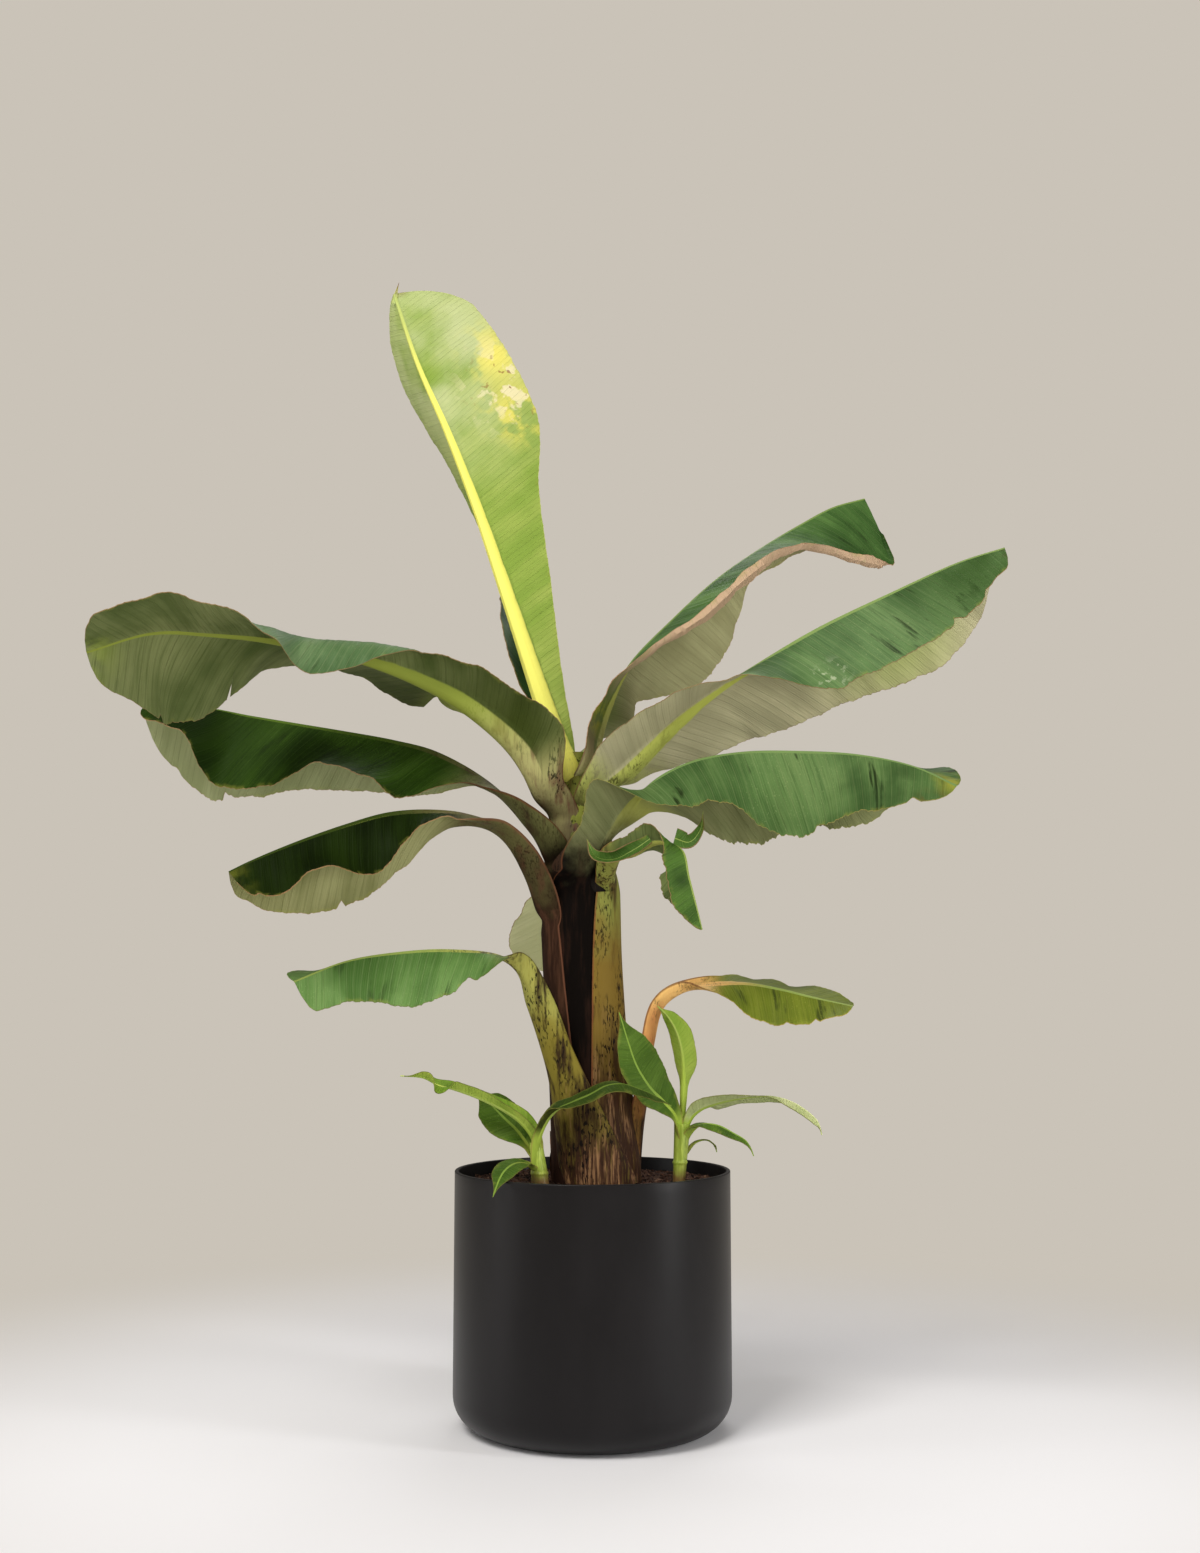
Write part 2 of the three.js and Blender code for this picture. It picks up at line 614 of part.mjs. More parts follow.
// A closed tube through rings of equal size, with flat ends.
function tube(rings) {
  const sides = rings[0].length;
  const positions = rings.flat().flatMap((p) => p.toArray());
  const at = (i, j) => i * sides + (j % sides);
  const indices = [];
  for (let i = 0; i < rings.length - 1; i += 1) {
    for (let j = 0; j < sides; j += 1) {
      indices.push(at(i, j), at(i, j + 1), at(i + 1, j + 1), at(i, j), at(i + 1, j + 1), at(i + 1, j));
    }
  }
  for (let j = 1; j < sides - 1; j += 1) {
    indices.push(at(0, 0), at(0, j + 1), at(0, j));
    indices.push(at(rings.length - 1, 0), at(rings.length - 1, j), at(rings.length - 1, j + 1));
  }
  return bufferGeometry(positions, indices);
}

function ring(centre, radius, sides) {
  return Array.from({ length: sides }, (_, j) => {
    const angle = (2 * Math.PI * j) / sides;
    return centre.clone().add(new THREE.Vector3(radius * Math.cos(angle), radius * Math.sin(angle), 0));
  });
}

// A solid of revolution about Z. The profile runs outwards from the axis, round, and back to it.
function revolve(profile, sides) {
  const [bottom, top] = [profile[0], profile[profile.length - 1]];
  const waists = profile.slice(1, -1);
  const positions = waists.flatMap(([r, z]) => ring(new THREE.Vector3(0, 0, z), r, sides))
    .flatMap((p) => p.toArray());
  const first = positions.length / 3;
  positions.push(0, 0, bottom[1], 0, 0, top[1]);
  const at = (i, j) => i * sides + (j % sides);
  const indices = [];
  for (let j = 0; j < sides; j += 1) {
    indices.push(first, at(0, j + 1), at(0, j));
    for (let i = 0; i < waists.length - 1; i += 1) {
      indices.push(at(i, j), at(i, j + 1), at(i + 1, j + 1), at(i, j), at(i + 1, j + 1), at(i + 1, j));
    }
    indices.push(first + 1, at(waists.length - 1, j), at(waists.length - 1, j + 1));
  }
  return bufferGeometry(positions, indices);
}

// Points of a quarter round from straight down to straight out, in radius and height.
function footArc(centreRadius, centreHeight, radius, steps) {
  return Array.from({ length: steps + 1 }, (_, k) => {
    const angle = (Math.PI / 2) * (k / steps);
    return [centreRadius + radius * Math.sin(angle), centreHeight - radius * Math.cos(angle)];
  });
}

function potGeometry() {
  const { radius, height, wall, floor, footRounding, lip, sides, arcSteps } = POT;
  const inner = radius - wall;
  const innerRounding = footRounding - wall;
  const outside = footArc(radius - footRounding, footRounding, footRounding, arcSteps);
  const inside = footArc(inner - innerRounding, floor + innerRounding, innerRounding, arcSteps).reverse();
  const rim = [[radius, height - lip], [radius - lip, height], [inner + lip, height], [inner, height - lip]];
  return revolve([[0, 0], ...outside, ...rim, ...inside, [0, floor]], sides);
}

function soilGeometry() {
  const { radius, wall, floor, footRounding, sides, arcSteps } = POT;
  const inner = radius - wall;
  const innerRounding = footRounding - wall;
  const clear = inner - 2 * GAP;
  const under = footArc(inner - innerRounding, floor + innerRounding, innerRounding - 2 * GAP, arcSteps);
  return revolve([[0, floor + 2 * GAP], ...under, [clear, SOIL_TOP], [0, SOIL_TOP]], sides);
}

function toManifold(geometry) {
  return new wasm.Manifold(new wasm.Mesh({
    numProp: 3,
    vertProperties: new Float32Array(geometry.attributes.position.array),
    triVerts: new Uint32Array(geometry.index.array),
  }));
}

// Union of the given closed solids, cut flat at the soil.
function fuse(geometries) {
  const joined = geometries.map(toManifold).reduce((sum, piece) => sum.add(piece));
  const mesh = joined.trimByPlane([0, 0, 1], SOIL_TOP + GAP).getMesh();
  return bufferGeometry(Array.from(mesh.vertProperties), Array.from(mesh.triVerts));
}

// The stalk of a leaf, from the stem to its cut.
function stalkGeometry(leaf, thickness, across) {
  const from = leaf.share(leaf.lead ? -1 : 0);
  const to = leaf.share(leaf.shape.cut);
  const count = Math.max(4, Math.round(leaf.shape.cut + 3));
  return shell(leaf.rows(from, to, count, across, 1), () => thickness);
}

// The blade of a leaf, from just past its cut to its tip.
function bladeGeometry(leaf, blade) {
  const from = leaf.share(leaf.shape.cut) + GAP / leaf.curve.getLength();
  const rows = leaf.rows(from, 0.999, blade.rows, blade.across, 1.35);
  return shell(rows, (cell) => blade.thickness + blade.midrib * (1 - cell.reach) ** 2);
}

function stemGeometry(leaves) {
  const rings = Array.from({ length: STEM.rings }, (_, k) => {
    const z = lerp(STEM.foot, STEM.top, k / (STEM.rings - 1));
    return ring(stemCentre(z), stemRadius(z), STEM.sides);
  });
  return fuse([tube(rings), ...leaves.map((leaf) => stalkGeometry(leaf, STALK_THICKNESS, 3))]);
}

function shootStemGeometry({ foot, top, radius }, leaves) {
  const rings = [0, 0.5, 1].map((u) => {
    const centre = new THREE.Vector3(...foot).lerp(new THREE.Vector3(...top), u);
    return ring(centre, lerp(radius[0], radius[1], u), 10);
  });
  return fuse([tube(rings), ...leaves.map((leaf) => stalkGeometry(leaf, SHOOT_BLADE.thickness + 1, 2))]);
}

function addNode(group, name, geometry, finish) {
  const mesh = new THREE.Mesh(geometry, new THREE.MeshStandardMaterial(finish));
  mesh.name = name;
  group.add(mesh);
}

function buildPlant() {
  const plant = new THREE.Group();
  plant.name = "banana_plant";
  addNode(plant, "pot", potGeometry(), FINISH.pot);
  addNode(plant, "soil", soilGeometry(), FINISH.soil);
  const leaves = Object.entries(LEAVES).map(([name, shape]) => [name, new Leaf(shape)]);
  addNode(plant, "stem", stemGeometry(leaves.map(([, leaf]) => leaf)), FINISH.stem);
  for (const [name, leaf] of leaves) {
    const finish = name === "leaf_upright" ? FINISH.youngLeaf : FINISH.leaf;
    addNode(plant, name, bladeGeometry(leaf, BLADE), finish);
  }
  for (const [shoot, { stem, leaves: shapes }] of Object.entries(SHOOTS)) {
    const own = Object.entries(shapes).map(([name, shape]) => [name, new Leaf(shape)]);
    addNode(plant, `${shoot}_stem`, shootStemGeometry(stem, own.map(([, leaf]) => leaf)), FINISH.youngLeaf);
    for (const [name, leaf] of own) {
      addNode(plant, `${shoot}_${name}`, bladeGeometry(leaf, SHOOT_BLADE), FINISH.youngLeaf);
    }
  }
  return plant;
}

export default buildPlant();
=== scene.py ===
"""A potted banana plant, dressed over its solid model.

The plant is one false stem of wrapped leaf sheaths, with leaves to both sides and two side shoots
at its foot, in a straight black pot. Sizes in the tables are millimetres, +Z up, +X to the right and
+Y away from the viewer, with the origin at the centre of the pot's flat underside. Meshes are metres.
"""
import logging
import math
from dataclasses import dataclass, field, replace
from enum import Enum

import bpy
import numpy as np
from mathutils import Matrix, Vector
from numpy.typing import NDArray


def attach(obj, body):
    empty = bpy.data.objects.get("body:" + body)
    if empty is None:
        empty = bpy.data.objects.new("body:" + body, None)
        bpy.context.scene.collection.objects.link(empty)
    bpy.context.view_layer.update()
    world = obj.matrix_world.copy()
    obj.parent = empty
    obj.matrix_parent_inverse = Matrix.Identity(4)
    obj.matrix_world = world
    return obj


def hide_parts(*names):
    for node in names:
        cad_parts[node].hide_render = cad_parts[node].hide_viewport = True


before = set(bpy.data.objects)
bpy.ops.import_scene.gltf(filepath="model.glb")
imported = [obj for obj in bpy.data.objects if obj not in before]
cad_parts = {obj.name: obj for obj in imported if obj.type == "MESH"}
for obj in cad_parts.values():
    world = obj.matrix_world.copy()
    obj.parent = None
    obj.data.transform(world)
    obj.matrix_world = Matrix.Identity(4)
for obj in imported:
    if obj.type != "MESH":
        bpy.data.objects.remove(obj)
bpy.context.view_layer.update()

Array = NDArray[np.float64]
Colour = tuple[float, float, float]
Point = tuple[float, float, float]
Range = tuple[float, float]

log = logging.getLogger("banana_plant")

MM = 0.001
UP: Point = (0.0, 0.0, 1.0)
BLACK: Colour = (0.0, 0.0, 0.0)


def srgb(red: int, green: int, blue: int) -> Colour:
    """Turns a screen colour of 0 to 255 into the linear colour of a shader socket."""
    shares = (value / 255 for value in (red, green, blue))
    return tuple(s / 12.92 if s <= 0.04045 else ((s + 0.055) / 1.055) ** 2.4 for s in shares)


def unit(vectors: Array) -> Array:
    """Scales each vector along the last axis to length one."""
    return vectors / np.maximum(np.linalg.norm(vectors, axis=-1, keepdims=True), 1e-12)


def smooth(x: Array) -> Array:
    """Eases from 0 to 1 as x does: 3x² - 2x³, held at both ends."""
    x = np.clip(x, 0.0, 1.0)
    return x * x * (3.0 - 2.0 * x)


def keyed(values: tuple[float, ...], at: Array) -> Array:
    """Reads a list with one value a station, on a cubic whose slope is 0 at each peak.

    Args:
        values: one value for each station; the last holds for all stations after it.
        at: stations to read, in any shape.

    Returns:
        The values there, in the shape of at.
    """
    listed = np.asarray(values, dtype=float)
    at = np.clip(at, 0, len(listed) - 1)
    i = np.minimum(at.astype(int), len(listed) - 2)
    u = at - i
    steps = np.diff(np.concatenate([listed[:1], listed, listed[-1:]]))
    slopes = np.where(steps[:-1] * steps[1:] > 0, (steps[:-1] + steps[1:]) / 2, 0.0)
    rise = u * u * (3 - 2 * u)
    bend = slopes[i] * (u**3 - 2 * u * u + u) + slopes[i + 1] * (u**3 - u * u)
    return listed[i] + (listed[i + 1] - listed[i]) * rise + bend


def spline(points: Array, at: Array) -> Array:
    """Runs a centripetal Catmull-Rom curve through the points, one unit of at from each to the next.

    Args:
        points: the points, one a row.
        at: places on the curve, from 0 to one less than the number of points.

    Returns:
        The points of the curve, one a row.
    """
    p = np.vstack([2 * points[0] - points[1], points, 2 * points[-1] - points[-2]])
    i = np.clip(at.astype(int), 0, len(points) - 2)
    u = (at - i)[:, None]
    before, start, end, after = (p[i + k] for k in range(4))
    d0, d1, d2 = (np.sqrt(np.linalg.norm(b - a, axis=1))[:, None]
                  for a, b in ((before, start), (start, end), (end, after)))
    m1 = ((start - before) / d0 - (end - before) / (d0 + d1) + (end - start) / d1) * d1
    m2 = ((end - start) / d1 - (after - start) / (d1 + d2) + (after - end) / d2) * d1
    return ((2 * u**3 - 3 * u**2 + 1) * start + (u**3 - 2 * u**2 + u) * m1
            + (3 * u**2 - 2 * u**3) * end + (u**3 - u**2) * m2)


def ripples(at: Array, wavelengths: tuple[float, ...], seed: int) -> Array:
    """Adds one sine for each wavelength, with seeded phases, to between -1 and 1.

    Args:
        at: distances, in the unit of the wavelengths.
        wavelengths: one for each sine.
        seed: gives the phases.

    Returns:
        The sum over the number of sines, in the shape of at.
    """
    phases = np.random.default_rng(seed).uniform(0, 2 * np.pi, len(wavelengths))
    waves = [np.sin(2 * np.pi * at / w + phase) for w, phase in zip(wavelengths, phases)]
    return sum(waves) / len(waves)


def around(steps: int) -> Array:
    """Angles of so many even steps once round, in radians."""
    return np.linspace(0, 2 * np.pi, steps, endpoint=False)


def level(angles: Array | float) -> Array:
    """Unit vectors in the XY plane, at angles from +X in radians."""
    return np.stack([np.cos(angles), np.sin(angles), np.zeros_like(angles)], -1)


@dataclass
class Surface:
    """Vertices in mm and the faces between them, with what the finishes read at each vertex."""

    vertices: Array
    faces: list[NDArray[np.int64]]
    uv: Array | None = None
    marks: dict[str, Array] = field(default_factory=dict)

    def joined(self, other: "Surface") -> "Surface":
        """Puts another surface with the same marks into this one, as loose faces."""
        return Surface(
            vertices=np.vstack([self.vertices, other.vertices]),
            faces=self.faces + [faces + len(self.vertices) for faces in other.faces],
            uv=None if self.uv is None else np.vstack([self.uv, other.uv]),
            marks={name: np.concatenate([values, other.marks[name]])
                   for name, values in self.marks.items()},
        )

    def mesh(self, name: str, scale: float) -> bpy.types.Mesh:
        """Makes a mesh of the vertices and faces, scaled to metres."""
        mesh = bpy.data.meshes.new(name)
        listed = [face for faces in self.faces for face in faces.tolist()]
        mesh.from_pydata(self.vertices * scale, [], listed)
        return mesh


def shell(points: Array, normals: Array, above: Array, below: Array) -> tuple[Array, NDArray[np.int64]]:
    """Closes a grid into a thin shell: each point moved out and in along its normal, and a rim of quads.

    Args:
        points: grid of points, rows by columns by 3.
        normals: unit normals of the same grid.
        above: distance to the outer skin at each point.
        below: distance to the inner skin at each point.

    Returns:
        The vertices, outer skin first, and the quads, facing outwards.
    """
    rows, columns = points.shape[:2]
    outer = points + normals * above[..., None]
    inner = points - normals * below[..., None]
    index = np.arange(rows * columns).reshape(rows, columns)
    a, b, c, d = index[:-1, :-1], index[:-1, 1:], index[1:, 1:], index[1:, :-1]
    skin = np.stack([a, b, c, d], -1).reshape(-1, 4)
    rim = np.concatenate([index[:-1, 0], index[-1, :-1], index[:0:-1, -1], index[0, :0:-1]])
    ahead = np.roll(rim, -1)
    under = rows * columns
    strip = np.stack([rim, ahead, ahead + under, rim + under], -1)
    vertices = np.concatenate([outer.reshape(-1, 3), inner.reshape(-1, 3)])
    return vertices, np.vstack([skin, skin[:, ::-1] + under, strip])


def wrapped(rings: Array) -> Surface:
    """Closes rings of points into a tube with a pole at each end.

    Args:
        rings: rings by points by 3, each anticlockwise seen from the last ring's side.

    Returns:
        The closed surface; its last two vertices are the poles at the first and the last ring's middle.
    """
    count, sides = rings.shape[:2]
    index = np.arange(count * sides).reshape(count, sides)
    ahead = np.roll(index, -1, axis=1)
    quads = np.stack([index[:-1], ahead[:-1], ahead[1:], index[1:]], -1).reshape(-1, 4)
    poles = np.full(sides, count * sides)
    caps = np.vstack([np.stack([poles, ahead[0], index[0]], -1),
                      np.stack([poles + 1, index[-1], ahead[-1]], -1)])
    ends = rings[[0, -1]].mean(axis=1)
    return Surface(np.vstack([rings.reshape(-1, 3), ends]), [quads, caps])


def lathe(profile: Array, sides: int) -> Array:
    """Turns a profile of radius and height about Z.

    Args:
        profile: points from beside the axis at the bottom, outwards and round, to beside it at the top.
        sides: number of steps round.

    Returns:
        Rings of points.
    """
    radii, heights = profile[:, :1, None], profile[:, 1:, None]
    return radii * level(around(sides)) + heights * np.array(UP)


def quarter(radius: float, height: float, rounding: float, steps: int) -> Array:
    """Points of radius and height on a quarter round, from straight down to straight out."""
    angles = np.linspace(0, np.pi / 2, steps + 1)
    return np.stack([radius + rounding * np.sin(angles), height - rounding * np.cos(angles)], -1)


def lumps(x: Array, y: Array, wavelengths: tuple[float, ...], seed: int) -> Array:
    """Adds plane waves in seeded directions, three for each wavelength, to between -1 and 1.

    Args:
        x: first coordinate, in the unit of the wavelengths.
        y: second coordinate, in the same shape.
        wavelengths: the lengths of the waves.
        seed: gives directions and phases.

    Returns:
        The mean of the waves, in the shape of x.
    """
    chance = np.random.default_rng(seed)
    total = np.zeros_like(x)
    for wavelength in np.repeat(wavelengths, 3):
        heading, phase = chance.uniform(0, 2 * np.pi, 2)
        total += np.sin(2 * np.pi * (x * np.cos(heading) + y * np.sin(heading)) / wavelength + phase)
    return total / (3 * len(wavelengths))


class Signal:
    """A node's output. Arithmetic on it adds Math nodes to its material."""

    def __init__(self, shade: "Shade", socket: bpy.types.NodeSocket) -> None:
        """Wraps a socket of the shade's node tree."""
        self.shade = shade
        self.socket = socket

    def __add__(self, other: "Signal | float") -> "Signal":
        """This plus other."""
        return self.shade.maths("ADD", self, other)

    def __sub__(self, other: "Signal | float") -> "Signal":
        """This less other."""
        return self.shade.maths("SUBTRACT", self, other)

    def __rsub__(self, other: float) -> "Signal":
        """Other less this."""
        return self.shade.maths("SUBTRACT", other, self)

    def __mul__(self, other: "Signal | float") -> "Signal":
        """This times other."""
        return self.shade.maths("MULTIPLY", self, other)

    __radd__ = __add__
    __rmul__ = __mul__

    def at_least(self, other: "Signal | float") -> "Signal":
        """The larger of this and other."""
        return self.shade.maths("MAXIMUM", self, other)

    def sine(self) -> "Signal":
        """The sine of this, in radians."""
        return self.shade.maths("SINE", self)

    def ease(self, low: float, high: float) -> "Signal":
        """Rises smoothly from 0 at low to 1 at high."""
        inputs = {"Value": self, "From Min": low, "From Max": high}
        return self.shade.add("ShaderNodeMapRange", {"interpolation_type": "SMOOTHSTEP"}, inputs)


@dataclass(frozen=True)
class Grain:
    """A pattern of smooth noise: how fine, detailed and rough it is, and how it is drawn out.

    The place is multiplied by drawn and moved by shift, axis by axis, before the noise is read.
    """

    scale: float
    detail: float = 2.0
    roughness: float = 0.5
    drawn: Point | None = None
    shift: Point = (0.0, 0.0, 0.0)


class Shade:
    """The node tree of one material, round its Principled shader."""

    MIX_SOCKETS = {"factor": 0, "start": 6, "end": 7, "result": 2}

    def __init__(self, name: str) -> None:
        """Makes the material, with only a shader in it."""
        self.material = bpy.data.materials.new(name)
        self.material.use_nodes = True
        self.tree = self.material.node_tree
        self.shader = self.tree.nodes["Principled BSDF"]

    def add(self, kind: str, settings: dict | None = None, inputs: dict | None = None,
            output: int | str = 0) -> Signal:
        """Adds a node.

        Args:
            kind: the node's type.
            settings: its own settings, such as a Math node's operation, set first.
            inputs: a value or a signal for each socket, by name or number.
            output: the socket to return.

        Returns:
            The signal of that output.
        """
        node = self.tree.nodes.new(kind)
        for key, value in (settings or {}).items():
            setattr(node, key, value)
        for key, value in (inputs or {}).items():
            if isinstance(value, Signal):
                self.tree.links.new(value.socket, node.inputs[key])
            else:
                node.inputs[key].default_value = value
        return Signal(self, node.outputs[output])

    def maths(self, operation: str, *values: "Signal | float") -> Signal:
        """Adds a Math node on the values."""
        return self.add("ShaderNodeMath", {"operation": operation}, dict(enumerate(values)))

    def mix(self, start: "Signal | Colour", end: "Signal | Colour", factor: "Signal | float") -> Signal:
        """Blends two colours, from start at factor 0 to end at 1."""
        sockets = self.MIX_SOCKETS
        colours = {sockets[name]: value if isinstance(value, Signal) else (*value, 1.0)
                   for name, value in (("start", start), ("end", end))}
        inputs = {**colours, sockets["factor"]: factor}
        return self.add("ShaderNodeMix", {"data_type": "RGBA"}, inputs, sockets["result"])

    def place(self) -> Signal:
        """The point of the surface in the object's own frame, in metres."""
        return self.add("ShaderNodeTexCoord", output="Object")

    def mark(self, name: str) -> Signal:
        """A number stored at the mesh's vertices."""
        return self.add("ShaderNodeAttribute", {"attribute_name": name}, output="Fac")

    def noise(self, vector: Signal, grain: Grain) -> Signal:
        """Smooth noise around 0.5, of the given grain."""
        if grain.drawn:
            stretch = {"Vector": vector, "Scale": grain.drawn, "Location": grain.shift}
            vector = self.add("ShaderNodeMapping", {}, stretch)
        inputs = {"Vector": vector, "Scale": grain.scale, "Detail": grain.detail,
                  "Roughness": grain.roughness}
        return self.add("ShaderNodeTexNoise", {}, inputs)

    def parts(self, vector: Signal) -> tuple[Signal, Signal, Signal]:
        """The three numbers of a vector."""
        node = self.add("ShaderNodeSeparateXYZ", {}, {0: vector}).socket.node
        return tuple(Signal(self, socket) for socket in node.outputs)

    def near(self, place: Signal, centre: Point, radius: float) -> Signal:
        """Falls from 1 at a point, given in mm, to 0 at the radius from it."""
        ends = {0: place, 1: tuple(value * MM for value in centre)}
        distance = self.add("ShaderNodeVectorMath", {"operation": "DISTANCE"}, ends, "Value")
        return 1.0 - distance.ease(0.0, radius * MM)

    def finish(self, colour: Signal, roughness: "Signal | float", height: Signal, depth: float,
               constants: dict | None = None) -> bpy.types.Material:
        """Feeds the shader.

        Args:
            colour: base colour.
            roughness: roughness, the same all over or not.
            height: relief, from 0 to about 1.
            depth: how deep a relief of 1 is, in mm.
            constants: other sockets of the shader, each the same all over.

        Returns:
            The material.
        """
        bump = self.add("ShaderNodeBump", {}, {"Height": height, "Distance": depth * MM}, "Normal")
        self.feed({"Base Color": colour, "Normal": bump, "Roughness": roughness, **(constants or {})})
        return self.material

    def feed(self, inputs: dict) -> None:
        """Sets or links the shader's own sockets, by name."""
        for name, value in inputs.items():
            if isinstance(value, Signal):
                self.tree.links.new(value.socket, self.shader.inputs[name])
            else:
                self.shader.inputs[name].default_value = value


def placed(name: str, data: bpy.types.ID) -> bpy.types.Object:
    """Links a new object of a mesh, lamp or camera to the scene."""
    made = bpy.data.objects.new(name, data)
    bpy.context.scene.collection.objects.link(made)
    return made


def make_piece(name: str, surface: Surface, material: bpy.types.Material,
               stands_for: tuple[str, ...], crease: float = 50.0) -> None:
    """Puts a surface into the scene as one smooth-shaded piece of the plant.

    Args:
        name: the piece's name.
        surface: its vertices, quads and marks.
        material: its finish.
        stands_for: solids that the piece replaces.
        crease: angle in degrees above which an edge is sharp.
    """
    mesh = surface.mesh(name, MM)
    corners = np.empty(len(mesh.loops), dtype=np.int32)
    mesh.loops.foreach_get("vertex_index", corners)
    if surface.uv is not None:
        layer = mesh.uv_layers.new(name="veins")
        layer.data.foreach_set("uv", surface.uv[corners].astype(np.float32).ravel())
    for mark, values in surface.marks.items():
        stored = mesh.attributes.new(mark, "FLOAT", "POINT")
        stored.data.foreach_set("value", values.astype(np.float32).ravel())
    mesh.shade_smooth()
    mesh.set_sharp_from_angle(angle=math.radians(crease))
    mesh.materials.append(material)
    mesh.validate()
    piece = placed(name, mesh)
    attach(piece, "root")
    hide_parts(*stands_for)
    log.info("%s: %d faces", name, len(mesh.polygons))


class Skin(Enum):
    """The skin of a leaf that a blotch shows on, or its midrib."""

    UPPER = "upper"
    UNDER = "under"
    RIB = "rib"


@dataclass(frozen=True)
class Blotch:
    """A soft-edged patch of another colour round a point of a leaf, in mm."""

    centre: Point
    radius: float
    colour: Colour
    skin: Skin
    strength: float = 0.8
    grain: float = 40.0
    cover: Range = (0.38, 0.58)


@dataclass(frozen=True)
class StalkFinish:
    """Colours of a stalk and sheath by height in mm, with their stains, dark specks and edge."""

    MOTTLE = Grain(30.0, 4.0)
    LONG = Grain(75.0, 4.0, 0.6, (1.0, 1.0, 0.14))
    FIBRES = Grain(480.0, 3.0, 0.6, (1.0, 1.0, 0.04))
    SPECKLE = Grain(460.0, 3.0, drawn=(1.0, 1.0, 0.3))
    PATCHES = Grain(42.0, 3.0, drawn=(1.0, 1.0, 0.3))
    UNEVEN = 0.12
    FIBRE_SHARE = 0.35
    EDGE_WIDTH = (1.6, 3.0)
    EDGE_SHARE = 0.7

    high: Colour = srgb(140, 146, 84)
    low: Colour = srgb(30, 20, 15)
    heights: Range = (420.0, 620.0)
    foot: Colour = srgb(40, 24, 18)
    feet: Range = (262.0, 330.0)
    stain: Colour = srgb(70, 40, 30)
    stains: float = 0.4
    speck: Colour = srgb(16, 10, 8)
    specks: float = 0.5
    edge: Colour = srgb(86, 46, 32)
    # Pale tan fibres at the foot, with a painted highlight on them.
    gleam: Colour = srgb(186, 140, 100)
    gleams: float = 0.0

    def colour(self, shade: Shade, place: Signal, edge: Signal) -> Signal:
        """Tints a stalk: tones by height, stains and fibres drawn out upwards, specks, a thin edge.

        At the foot, the fibres between the stains are pale tan, with a painted highlight on them.

        Args:
            shade: the material's nodes.
            place: point of the surface, in metres.
            edge: distance to the sheath's margin, in mm.

        Returns:
            The colour.
        """
        _, _, z = shade.parts(place)
        mottle = shade.noise(place, self.MOTTLE)
        uneven = z + (mottle - 0.5) * self.UNEVEN
        risen = uneven.ease(*(height * MM for height in self.feet))
        above = uneven.ease(*(height * MM for height in self.heights))
        colour = shade.mix(shade.mix(self.foot, self.low, risen), self.high, above)
        long = shade.noise(place, self.LONG)
        colour = shade.mix(colour, self.stain, long.ease(0.48, 0.66) * self.stains)
        fibres = shade.noise(place, self.FIBRES)
        colour = shade.mix(colour, self.low, fibres.ease(0.5, 0.7) * self.FIBRE_SHARE)
        # Painted highlight on the pale tan fibres at the foot, between the stains.
        if self.gleams:
            bare = (1.0 - long.ease(0.42, 0.52)) * (1.0 - risen)
            colour = shade.mix(colour, self.gleam, fibres.ease(0.38, 0.62) * bare * self.gleams)
        fine = shade.noise(place, self.SPECKLE).ease(0.53, 0.6)
        patch = shade.noise(place, self.PATCHES).ease(0.46, 0.6)
        colour = shade.mix(colour, self.speck, fine * patch * self.specks)
        inside = (edge + mottle * 2.0).ease(*self.EDGE_WIDTH)
        return shade.mix(colour, self.edge, (1.0 - inside) * self.EDGE_SHARE)


